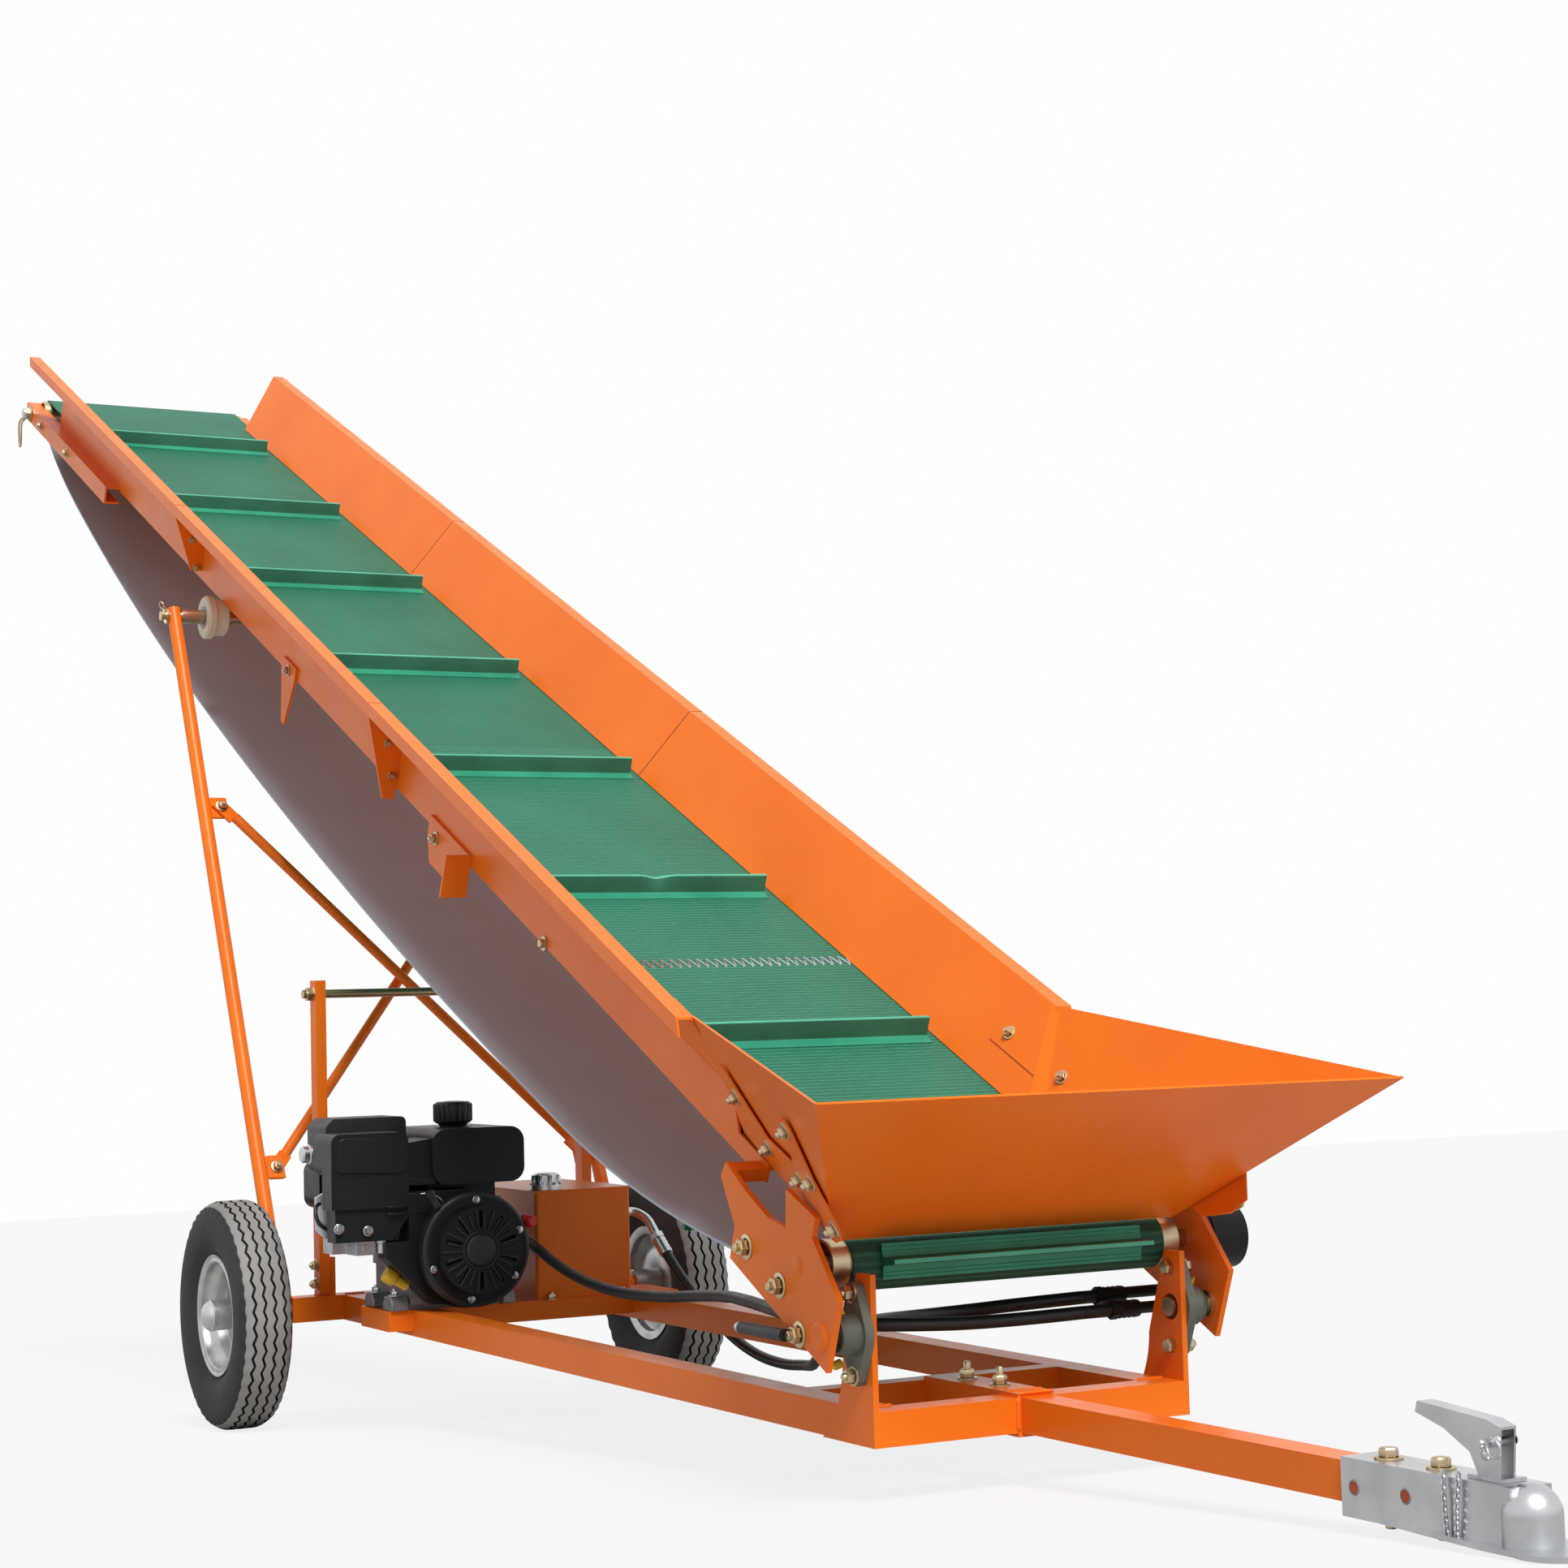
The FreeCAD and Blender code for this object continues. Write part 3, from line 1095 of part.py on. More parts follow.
# Two hoses from the pump and the tank; they end square to Y near the boom pivot, where
# short ones on the boom carry on to the motor's pipes and slide past them
def hoses():
    meet = 150
    supply = [(-1873, -103, 160), (-1808, -38, 163), (-1700, -22, 164), (-1590, -20, 149), (-1480, -20, 117),
              (-1365, -20, 97), (-1220, -22, 88), (-1051, -24, 94), (-880, -42, 111), (-700, -88, 127),
              (-540, -138, 136), (-390, -180, 140), (-262, -210, 140), (-165, -205, 139),
              (-108, -140, 137), (-112, 8, 129), (-110.5, meet, 132)]
    back = [(-1585, 227.5, 139), (-1535, 236, 88), (-1462, 247, 36), (-1360, 252, -14), (-1260, 253, -40),
            (-1155, 250, -45), (-1060, 236, -35), (-970, 201, -25), (-882, 160, -5), (-765, 120, 28),
            (-640, 80, 66), (-530, 46, 92), (-420, 24, 108), (-310, 14, 122), (-208, 30, 136),
            (-150, 92, 146), (-145, meet + 22, 148)]
    lines = [pipe(supply, s.hoseRadius), pipe(back, s.hoseRadius)]
    node("hose_lines", machineFrame, [made("HoseLines", Part.makeCompound(lines))])
    ends = []
    for x, y, z in (supply[-1], back[-1]):
        start = boomFrame.inverse().multVec(vec(x, y + 0.8, z))
        length = float(s.hoseEnd) - 0.3 - start.y
        ends.append(Part.makeCylinder(float(s.hoseRadius), length, start, vec(0, 1, 0)))
    node("hose_motor", boomFrame, [made("HoseMotor", Part.makeCompound(ends))])


axleBeam()
sideRails()
frontBeam()
drawbarTie()
drawbar()
enginePad()
uprights()
bearings()
restPosts()
restShaft()
coupler()
couplerLatch()
wheels()
sidePanels()
deck()
crossMembers()
boomBrackets()
tailPlates()
hopper()
drums()
beltLoop()
takeUps()
hydraulicMotor()
legs()
braces()
legShaft()
legRollers()
engine()
hydraulics()
hoses()
doc.recompute()

# The parked lean: tyres and the coupler's nose on one level floor
nose = vec(couplerNose, 0, -s.couplerLow)
reach = nose - wheelAxis
lean = math.asin(float(s.tyreRadius) / reach.Length) - math.atan2(-reach.z, reach.x)
leanTurn = FreeCAD.Rotation(FreeCAD.Vector(0, 1, 0), math.degrees(lean))
leaning = FreeCAD.Placement(FreeCAD.Vector(), leanTurn)
box = FreeCAD.BoundBox()
for whole, frame in nodes.values():
    whole.Placement = leaning.multiply(frame)
doc.recompute()
for whole, frame in nodes.values():
    box.add(whole.Shape.optimalBoundingBox(False, False))
floorAt = leaning.multVec(wheelAxis).z - float(s.tyreRadius)
park = FreeCAD.Placement(FreeCAD.Vector(-box.Center.x, 0, -floorAt), leanTurn)
for whole, frame in nodes.values():
    whole.Placement = park.multiply(frame)
doc.recompute()

# What the record needs: the joints' anchors and the parked lean
print("parked lean %.4f degrees, box %s" % (math.degrees(lean), box))
for name, place in (
        ("boom pivot", vec(-s.pivotBack, 0, s.pivotHigh)),
        ("wheel axis", wheelAxis),
        ("ball socket", vec(ballAhead, 0, s.ballHigh))):
    spot = park.multVec(place)
    print("  %s at %.3f %.3f %.3f" % (name, spot.x, spot.y, spot.z))

for thing in doc.Objects:
    if "Invalid" in thing.State or "Error" in thing.State:
        raise RuntimeError("object failed: " + thing.Label)
os.makedirs("parts", exist_ok=True)
for name, (whole, frame) in nodes.items():
    shape = whole.Shape
    if shape.isNull() or not shape.isValid() or not shape.Solids:
        raise RuntimeError("bad shape: " + name)
    if len(shape.Solids) == 1:
        shape = shape.Solids[0]
    shape.exportStep("parts/" + name + ".step")
    print("%s: %d solids, %.0f cubic mm" % (name, len(whole.Shape.Solids), whole.Shape.Volume))
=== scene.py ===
import json
import math
import bpy
from mathutils import Matrix, Vector


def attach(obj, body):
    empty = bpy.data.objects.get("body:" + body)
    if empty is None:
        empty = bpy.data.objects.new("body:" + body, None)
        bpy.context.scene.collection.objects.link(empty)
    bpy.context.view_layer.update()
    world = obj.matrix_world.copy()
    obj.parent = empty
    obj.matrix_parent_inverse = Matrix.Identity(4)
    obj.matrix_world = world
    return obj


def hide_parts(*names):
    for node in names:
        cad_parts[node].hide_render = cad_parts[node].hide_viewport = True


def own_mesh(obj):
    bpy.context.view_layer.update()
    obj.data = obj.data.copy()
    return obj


# Portable belt conveyor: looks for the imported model, in metres, +X to the hitch.
# Spots are given in millimetres in the machine's own frame, along the boom or along
# the prop legs, and one matrix for each of these takes them into the parked machine.

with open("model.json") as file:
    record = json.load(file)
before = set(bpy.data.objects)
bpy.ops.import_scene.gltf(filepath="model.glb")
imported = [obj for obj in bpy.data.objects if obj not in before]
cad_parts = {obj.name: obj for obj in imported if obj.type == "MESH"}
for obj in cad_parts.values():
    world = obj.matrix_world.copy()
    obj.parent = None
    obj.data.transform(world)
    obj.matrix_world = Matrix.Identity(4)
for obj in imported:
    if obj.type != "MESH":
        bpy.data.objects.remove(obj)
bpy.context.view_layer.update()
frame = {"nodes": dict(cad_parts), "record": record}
nodes = frame["nodes"]
joints = {joint["name"]: joint for joint in frame["record"]["behaviour"]["joints"]}

milli = 0.001
sides = (-1, 1)
wayX, wayY, wayZ = (1, 0, 0), (0, 1, 0), (0, 0, 1)
park = {"lean": 3.2263, "axle": (-1995, 0, 22.5), "track": 433}
boomPlace = {"pitch": 25.1, "pivot": (-78.9, 0, 225.4)}
legPlace = {"lean": 24.5654, "long": 1496.71}


def turnY(degrees):
    return Matrix.Rotation(math.radians(degrees), 4, "Y")


def findFrames():
    axle = Vector(joints["leg_swing"]["pos_m"])
    leaning = turnY(park["lean"])
    start = leaning @ Vector(park["axle"]) * milli
    machine = Matrix.Translation(axle - start) @ leaning @ Matrix.Scale(milli, 4)
    boom = machine @ Matrix.Translation(boomPlace["pivot"]) @ turnY(boomPlace["pitch"])
    legs = machine @ Matrix.Translation(park["axle"]) @ turnY(-legPlace["lean"])
    return machine, boom, legs


machineFrame, boomFrame, legFrame = findFrames()
toBoom = boomFrame.inverted() @ machineFrame
places = {"chassis": machineFrame, "boom": boomFrame, "prop_legs": legFrame, "wheel_near": machineFrame,
          "wheel_far": machineFrame}
print("scene: frames found")


def addObject(name, data):
    thing = bpy.data.objects.new(name, data)
    bpy.context.scene.collection.objects.link(thing)
    return thing


viewer = {"place": (3239.258, -2092.341, 561.180), "yaw": 28.3331, "pitch": -4.2426,
          "roll": -1.5296, "lens": 67.45, "sensor": 36, "farthest": 200}


def addCamera():
    yaw, tilt, roll = (math.radians(viewer[key]) for key in ("yaw", "pitch", "roll"))
    level = math.cos(tilt)
    ahead = Vector((-math.cos(yaw) * level, math.sin(yaw) * level, -math.sin(tilt)))
    right = Vector((math.sin(yaw), math.cos(yaw), 0))
    up = right.cross(ahead)
    rolledRight = math.cos(roll) * right + math.sin(roll) * up
    rolledUp = math.cos(roll) * up - math.sin(roll) * right
    turn = machineFrame.to_3x3().normalized()
    data = bpy.data.cameras.new("photoCamera")
    data.lens = viewer["lens"]
    data.sensor_width = viewer["sensor"]
    data.clip_end = viewer["farthest"]
    camera = addObject("photoCamera", data)
    axes = Matrix((turn @ rolledRight, turn @ rolledUp, -(turn @ ahead)))
    camera.matrix_world = axes.transposed().to_4x4()
    camera.location = machineFrame @ Vector(viewer["place"])
    bpy.context.scene.camera = camera


class Wire:  # one socket; sums on it add Math nodes
    def __init__(self, owner, socket):
        self.owner = owner
        self.socket = socket

    def sum(self, operation, first, second):
        return self.owner.node("Math", {"operation": operation}, {0: first, 1: second})

    def __add__(self, other):
        return self.sum("ADD", self, other)

    def __sub__(self, other):
        return self.sum("SUBTRACT", self, other)

    def __rsub__(self, other):
        return self.sum("SUBTRACT", other, self)

    def __mul__(self, other):
        return self.sum("MULTIPLY", self, other)

    def __gt__(self, other):
        return self.sum("GREATER_THAN", self, other)


def rgba(value):
    return value + (1,) if isinstance(value, tuple) else (value,) * 3 + (1,)


class Tree:  # a node tree, of a material or of the world
    def __init__(self, tree):
        self.tree = tree

    def node(self, kind, settings=None, inputs=None, out=0):
        made = self.tree.nodes.new("ShaderNode" + kind)
        for key, value in (settings or {}).items():
            if key == "stops":
                for element, (place, colour) in zip(made.color_ramp.elements, value):
                    element.position = place
                    element.color = rgba(colour)
            else:
                setattr(made, key, value)
        for key, value in (inputs or {}).items():
            if isinstance(value, Wire):
                self.tree.links.new(value.socket, made.inputs[key])
            elif made.inputs[key].type == "RGBA":
                made.inputs[key].default_value = rgba(value)
            else:
                made.inputs[key].default_value = value
        return Wire(self, made.outputs[out])

    def join(self, wire, owner, name):
        self.tree.links.new(wire.socket, self.tree.nodes[owner].inputs[name])


class Finish(Tree):  # one material on a Principled shader
    def __init__(self, name, fixed):
        self.material = bpy.data.materials.new(name)
        self.material.use_nodes = True
        super().__init__(self.material.node_tree)
        self.shader = self.tree.nodes["Principled BSDF"]
        for key, value in fixed.items():
            self.shader.inputs[key].default_value = rgba(value) if isinstance(value, tuple) else value

    def feed(self, name, wire):
        self.tree.links.new(wire.socket, self.shader.inputs[name])

    def spot(self, turn=0):
        here = self.node("TexCoord", out="Object")
        turned = {"Vector": here, "Rotation": (0, math.radians(turn), 0)}
        return self.node("Mapping", {"vector_type": "TEXTURE"}, turned)

    def noise(self, scale, detail, where=None):
        return self.node("TexNoise", {}, {"Vector": where or self.spot(), "Scale": scale, "Detail": detail})

    def bands(self, where, way, pitch, distortion, detail, detailScale):
        kind = {"wave_type": "BANDS", "bands_direction": way, "wave_profile": "SIN"}
        shape = {"Vector": where, "Scale": 2 * math.pi / pitch / 20, "Distortion": distortion,
                 "Detail": detail, "Detail Scale": detailScale}
        return self.node("TexWave", kind, shape, out="Fac")

    def ramp(self, wire, *stops):
        return self.node("ValToRGB", {"stops": stops}, {"Fac": wire})

    def mix(self, wire, low, high):
        return self.node("Mix", {"data_type": "RGBA"}, {0: wire, 6: low, 7: high}, out=2)

    def bump(self, wire, depth, strength):
        self.feed("Normal", self.node("Bump", {}, {"Height": wire, "Distance": depth, "Strength": strength}))


def steel(name, light, dark, roughness, patch=14, metal=1, grain=90):
    finish = Finish(name, {"Metallic": metal})
    finish.feed("Base Color", finish.ramp(finish.noise(patch, 4), (0.35, dark), (0.65, light)))
    finish.feed("Roughness", finish.noise(grain, 2) * 0.16 + (roughness - 0.08))
    finish.bump(finish.noise(grain * 3, 2), 0.00012, 0.5)
    return finish.material


def paint(name, colour, deep, gloss):
    finish = Finish(name, {"Coat Weight": 0.07, "Coat Roughness": 0.15, "Specular IOR Level": 0.2})
    cloud = finish.noise(3.5, 4)
    finish.feed("Base Color", finish.mix(finish.ramp(cloud, (0.35, 0), (0.7, 1)), deep, colour))
    finish.feed("Roughness", finish.noise(22, 4) * 0.18 + (gloss - 0.06))
    finish.bump(finish.noise(420, 1), 0.00008, 0.35)
    return finish.material


def rubber(name, colour, roughness, pores=260, depth=0.0001, dust=1.35):
    finish = Finish(name, {"Specular IOR Level": 0.4})
    cloud = finish.noise(7, 4)
    dusty = tuple(min(1, part * dust + 0.01) for part in colour)
    finish.feed("Base Color", finish.mix(finish.ramp(cloud, (0.4, 0), (0.75, 1)), colour, dusty))
    finish.feed("Roughness", finish.noise(30, 3) * 0.2 + (roughness - 0.1))
    finish.bump(finish.noise(pores, 2), depth, 0.5)
    return finish.material


# 'under' is a painted shade colour for the belt round the tail drum, mixed in at the 'shaded' share
beltLook = {"colour": (0.014, 0.150, 0.086), "shade": (0.010, 0.120, 0.066),
            "fleck": (0.045, 0.27, 0.175), "under": (0.004, 0.045, 0.026),
            "ribPitch": 0.0105, "smoothFrom": 1850, "drumFrom": 4,
            "flecked": 0.55, "fleckedOnDrum": 0.25, "shaded": 0.8}


def beltFinish():
    # fine woven dimples on the lower half, smooth above the joint, straight ribs on the tail drum; the belt
    # round the drum is darkened with painted shade
    finish = Finish("beltGreen", {"Specular IOR Level": 0.35})
    lean = park["lean"] + boomPlace["pitch"]
    along = finish.spot(lean)
    reach = finish.node("SeparateXYZ", {}, {"Vector": along})

    def nearer(limit):  # 1 where the belt is nearer to the tail than the limit
        return reach > (turnY(-lean) @ (boomFrame @ Vector((-limit, 0, 0)))).x

    rough = nearer(beltLook["smoothFrom"])
    onDrum = nearer(beltLook["drumFrom"])
    base = finish.mix(finish.ramp(finish.noise(5, 4, along), (0.3, 0), (0.7, 1)),
                      beltLook["shade"], beltLook["colour"])
    # painted shade: on the tail drum the green is mixed towards the dark 'under' colour
    base = finish.mix(onDrum * beltLook["shaded"], base, beltLook["under"])
    weave = finish.bands(along, "X", beltLook["ribPitch"], 2.5, 3, 3.5)
    ribs = finish.bands(along, "Z", beltLook["ribPitch"], 0.8, 2, 2)
    weave = weave + (ribs - weave) * onDrum
    share = beltLook["flecked"] - onDrum * (beltLook["flecked"] - beltLook["fleckedOnDrum"])
    flecks = finish.ramp(weave, (0.45, 0), (0.95, 1)) * rough * share
    finish.feed("Base Color", finish.mix(flecks, base, beltLook["fleck"]))
    finish.feed("Roughness", finish.noise(40, 3) * 0.15 + 0.5)
    finish.bump(weave * rough + finish.noise(300, 2) * 0.12, 0.0012, 0.8)
    return finish.material


floorLook = {"colour": (0.52, 0.52, 0.51), "roughness": 0.9, "pale": 0.83, "half": 40}


def floorFinish():
    # grey for the light under the machine, nearly white to the camera
    finish = Finish("paleFloor", {"Base Color": floorLook["colour"], "Roughness": floorLook["roughness"]})
    glow = finish.node("Emission", {}, {"Color": (1, 1, 1), "Strength": 1})
    seen = finish.node("LightPath", out="Is Camera Ray")
    body = Wire(finish, finish.shader.outputs[0])
    both = finish.node("MixShader", {}, {0: seen * floorLook["pale"], 1: body, 2: glow})
    finish.join(both, "Material Output", "Surface")
    return finish.material


lighting = {"sky": 0.40, "sun": 3.15, "sunFrom": (0.64, -0.12, 0.77), "sunSoft": 22}


def addLight():
    scene = bpy.context.scene
    scene.view_settings.view_transform = "Standard"
    world = bpy.data.worlds.new("paleRoom")
    scene.world = world
    world.use_nodes = True
    room = Tree(world.node_tree)
    room.tree.nodes["Background"].inputs["Color"].default_value = (1, 1, 1, 1)
    clear = room.node("LightPath", out="Is Camera Ray")
    for kind in ("Is Glossy Ray", "Is Transmission Ray"):
        ray = room.node("LightPath", out=kind)
        clear = room.node("Math", {"operation": "MAXIMUM"}, {0: clear, 1: ray})
    room.join(clear * (1 - lighting["sky"]) + lighting["sky"], "Background", "Strength")
    sun = bpy.data.lights.new("softSun", "SUN")
    sun.energy = lighting["sun"]
    sun.angle = math.radians(lighting["sunSoft"])
    lamp = addObject("softSun", sun)
    lamp.rotation_euler = Vector(lighting["sunFrom"]).to_track_quat("Z", "Y").to_euler()


def addFloor():
    mesh = bpy.data.meshes.new("floor")
    half = floorLook["half"]
    mesh.from_pydata([(-half, -half, 0), (half, -half, 0), (half, half, 0), (-half, half, 0)], [],
                     [(0, 1, 2, 3)])
    mesh.materials.append(floorFinish())
    addObject("floor", mesh)


addCamera()
addLight()
addFloor()
print("scene: camera, light and floor")

finishes = {
    "paint": paint("orangePaint", (0.95, 0.198, 0.010), (0.87, 0.168, 0.008), 0.33),
    "belt": beltFinish(),
    "belt_back": rubber("beltBack", (0.43, 0.48, 0.55), 0.65, 500, 0.0001, 1.03),
    "zinc": steel("yellowZinc", (0.60, 0.52, 0.30), (0.52, 0.40, 0.28), 0.34),
    "silver": steel("brightZinc", (0.62, 0.63, 0.65), (0.50, 0.51, 0.53), 0.32),
    "bearing": steel("castHousing", (0.155, 0.17, 0.14), (0.12, 0.135, 0.11), 0.55, 20, 0.35),
    "tyre": rubber("tyreSide", (0.018, 0.018, 0.019), 0.75),
    "galvanised": steel("galvanisedRim", (0.56, 0.57, 0.56), (0.42, 0.43, 0.43), 0.42, 30),
    "black_paint": paint("blackPaint", (0.014, 0.014, 0.016), (0.010, 0.010, 0.011), 0.38),
    "engine": steel("castAluminium", (0.30, 0.30, 0.31), (0.20, 0.20, 0.21), 0.5, 25, 0.7),
    "black_plastic": rubber("blackPlastic", (0.012, 0.012, 0.013), 0.45),
    "nylon": rubber("creamNylon", (0.66, 0.60, 0.44), 0.42),
    "hose": rubber("hoseRubber", (0.010, 0.010, 0.011), 0.42),
    "shadow": rubber("jointShadow", (0.10, 0.020, 0.004), 0.8),
    "yellow": rubber("yellowPlastic", (0.62, 0.40, 0.02), 0.45),
    "red": rubber("redPlastic", (0.55, 0.012, 0.014), 0.4),
    # a darkened copy of the orange paint: painted shade in the pin holes of the coupler
    "holeShade": rubber("paintedShadeInHole", (0.38, 0.05, 0.006), 0.5),
    "tread": rubber("tyreTread", (0.24, 0.235, 0.225), 0.85, 150, 0.0004),
    "groove": rubber("tyreGroove", (0.012, 0.012, 0.012), 0.9),
    # cleat greens: the web darker, the foot lighter and the top edge pale, painted shade and a painted
    # highlight on one material
    "cleatWeb": rubber("cleatWeb", (0.010, 0.115, 0.064), 0.42),
    "cleatFoot": rubber("cleatFoot", (0.020, 0.24, 0.14), 0.4),
    "cleatHighlight": rubber("cleatHighlight", (0.075, 0.40, 0.27), 0.5),
}


def dressNodes():
    for item in frame["record"]["subparts"]:
        mesh = nodes[item["node"]].data
        mesh.materials.clear()
        mesh.materials.append(finishes[item["material_slot"]])


dressNodes()
print("scene: finishes on the frame")


def flip(spot, sign):  # the same spot or way, on the far or the near side
    return Vector((spot[0], sign * spot[1], spot[2]))


def around(count, start=0):  # evenly spaced ways round a circle
    angles = [start + 2 * math.pi * index / count for index in range(count)]
    return [(math.cos(angle), math.sin(angle)) for angle in angles]


class Shape:  # points and faces in the frame of a body, made into a piece at the end
    def __init__(self, body):
        self.body = body
        self.points = []
        self.faces = []
        self.marks = []

    def add(self, points, faces, marks=0):
        start = len(self.points)
        self.points += [Vector(point) for point in points]
        self.faces += [tuple(start + index for index in face) for face in faces]
        self.marks += marks if isinstance(marks, list) else [marks] * len(faces)

    # a turned form about an axis, from (radius, along) pairs
    def turned(self, spot, axis, profile, steps, mark=0, twist=0):
        axis = Vector(axis).normalized()
        side = axis.orthogonal() if abs(axis.z) > 0.9 else axis.cross(Vector(wayZ))
        side.normalize()
        front = axis.cross(side)
        rows = len(profile)
        points, faces = [], []
        for step, (across, ahead) in enumerate(around(steps, twist)):
            out = side * across + front * ahead
            points += [Vector(spot) + axis * along + out * radius for radius, along in profile]
            here, there = step * rows, (step + 1) % steps * rows
            faces += [(here + row, there + row, there + row + 1, here + row + 1) for row in range(rows - 1)]
        self.add(points, faces, mark)

    # the same on both sides of the machine
    def turnedPair(self, spot, axis, profile, steps, mark=0):
        for sign in sides:
            self.turned(flip(spot, sign), flip(axis, sign), profile, steps, mark)

    def prism(self, outline, low, high):
        count = len(outline)
        points = [(x, low, z) for x, z in outline] + [(x, high, z) for x, z in outline]
        faces = [tuple(range(count)), tuple(range(2 * count - 1, count - 1, -1))]
        faces += [((i + 1) % count, i, i + count, (i + 1) % count + count) for i in range(count)]
        self.add(points, faces)

    # a flat piece between corners, with a thickness along the given way
    def plate(self, corners, way, thickness):
        count = len(corners)
        push = Vector(way).normalized() * thickness
        points = [Vector(corner) for corner in corners] + [Vector(corner) + push for corner in corners]
        faces = [tuple(range(count - 1, -1, -1)), tuple(range(count, 2 * count))]
        faces += [(i, (i + 1) % count, (i + 1) % count + count, i + count) for i in range(count)]
        self.add(points, faces)

    def block(self, low, high):
        outline = [(low[0], low[2]), (high[0], low[2]), (high[0], high[2]), (low[0], high[2])]
        self.prism(outline, low[1], high[1])

    # a hexagon on a washer, with the end of its stud; sizes are (across flats, high, washer, stud)
    def bolt(self, spot, axis, sizes):
        flats, high, washer, stud = sizes
        axis = Vector(axis).normalized()
        corner = flats / math.sqrt(3)
        radius = flats * 0.29
        top = high + stud
        under = [(0.5, 0), (washer, 0), (washer, 1.8), (washer - 0.6, 2.2), (corner, 2.2)]
        self.turned(spot, axis, under, 24)
        head = [(corner * 0.94, 2.2), (corner, 3.2), (corner, high - 0.5), (corner * 0.86, high + 1.4),
                (corner * 0.5, high + 1.6), (0.3, high + 1.6)]
        self.turned(spot, axis, head, 6, twist=0.3)
        if stud:
            end = [(radius, high), (radius, top - 1.4), (radius * 0.8, top), (0.3, top)]
            self.turned(spot, axis, end, 12)

    def boltPairs(self, spots, axis, sizes):
        for sign in sides:
            for spot in spots:
                self.bolt(flip(spot, sign), flip(axis, sign), sizes)

    def piece(self, name, *looks, bevel=0, angle=35, replaced=()):
        mesh = bpy.data.meshes.new(name)
        mesh.from_pydata([places[self.body] @ point for point in self.points], [], self.faces)
        for look in looks:
            mesh.materials.append(finishes[look])
        for polygon, mark in zip(mesh.polygons, self.marks):
            polygon.material_index = mark
            polygon.use_smooth = True
        mesh.validate()
        mesh.set_sharp_from_angle(angle=math.radians(angle))
        thing = addObject(name, mesh)
        if bevel:
            edge = thing.modifiers.new("edges", "BEVEL")
            edge.width = bevel * milli
            edge.segments = 2
            edge.limit_method = "ANGLE"
            edge.angle_limit = math.radians(40)
        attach(thing, self.body)
        if replaced:
            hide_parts(*replaced)
        return thing


# A wire or hose: a smooth NURBS curve on listed points, in the frame of a body
def addCurve(name, body, points, radius, look, closed=False, replaced=()):
    curve = bpy.data.curves.new(name, "CURVE")
    curve.dimensions = "3D"
    curve.bevel_depth = radius * milli
    curve.bevel_resolution = 5
    curve.resolution_u = 10
    curve.use_fill_caps = True
    line = curve.splines.new("NURBS")
    line.points.add(len(points) - 1)
    for point, spot in zip(line.points, points):
        point.co = (places[body] @ Vector(spot)).to_4d()
    line.order_u = 3
    line.use_endpoint_u = not closed
    line.use_cyclic_u = closed
    curve.materials.append(finishes[look])
    thing = addObject(name, curve)
    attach(thing, body)
    if replaced:
        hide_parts(*replaced)


# A piece of one turned form
def addTurned(name, body, spot, axis, profile, steps, look, bevel=0):
    shape = Shape(body)
    shape.turned(spot, axis, profile, steps)
    shape.piece(name, look, bevel=bevel)


tyreForm = {"radius": 205, "flat": 20, "slope": 19, "drop": 7, "grooves": (-27.5, -9.2, 9.2, 27.5),
            "grooveHalf": 2.4, "grooveDeep": 6, "zigzag": 2.6, "notch": 3.5, "periods": 46,
            "side": ((97.8, 34), (113, 34.6), (123, 42.6), (140, 48), (157, 49.5),
                     (172, 48.8), (183, 47.2)), "shoulder": (195.5, 42.5), "edge": (198.6, 38)}


def crown(y):
    share = max(0, (abs(y) - tyreForm["flat"]) / tyreForm["slope"])
    return tyreForm["radius"] - tyreForm["drop"] * share ** 2


def tyreRow(step):
    # the tyre's outline at one step round it: (radius, across, zone from here to the next)
    wave = (0, 1, 0, -1)[step % 4] * tyreForm["zigzag"]
    notch = tyreForm["notch"] if step % 4 in (1, 2) else 0
    half, deep = tyreForm["grooveHalf"], tyreForm["grooveDeep"]
    edge, edgeOut = tyreForm["edge"]
    shoulder, shoulderOut = tyreForm["shoulder"]
    shoulder, shoulderOut = shoulder - notch * 0.4, shoulderOut - notch * 0.6
    row = [(radius, -across, 0) for radius, across in tyreForm["side"]]
    row += [(shoulder, -shoulderOut, 1), (edge, -edgeOut, 1)]
    for centre in tyreForm["grooves"]:
        left, right = centre - half + wave, centre + half + wave
        row += [(crown(left), left, 2), (crown(left) - deep, left + 0.7, 2),
                (crown(right) - deep, right - 0.7, 2), (crown(right), right, 1)]
    row += [(edge, edgeOut, 1), (shoulder, shoulderOut, 0)]
    return row + [(radius, across, 0) for radius, across in reversed(tyreForm["side"])]


def addTyre(name, sign):
    steps = tyreForm["periods"] * 4
    middle = Vector(park["axle"]) + Vector((0, sign * park["track"], 0))
    rows = [tyreRow(step) for step in range(steps)]
    count = len(rows[0])
    points, faces = [], []
    for row, (ahead, up) in zip(rows, around(steps)):
        points += [middle + Vector((ahead * radius, across, up * radius)) for radius, across, _ in row]
    for step in range(steps):
        here, there = step * count, (step + 1) % steps * count
        faces += [(here + index, here + index + 1, there + index + 1, there + index)
                  for index in range(count - 1)]
    shape = Shape("wheel_" + name)
    shape.add(points, faces, [zone for _, _, zone in rows[0][:-1]] * steps)
    shape.piece("tread_" + name, "tyre", "tread", "groove", angle=50, replaced=["tyre_" + name])


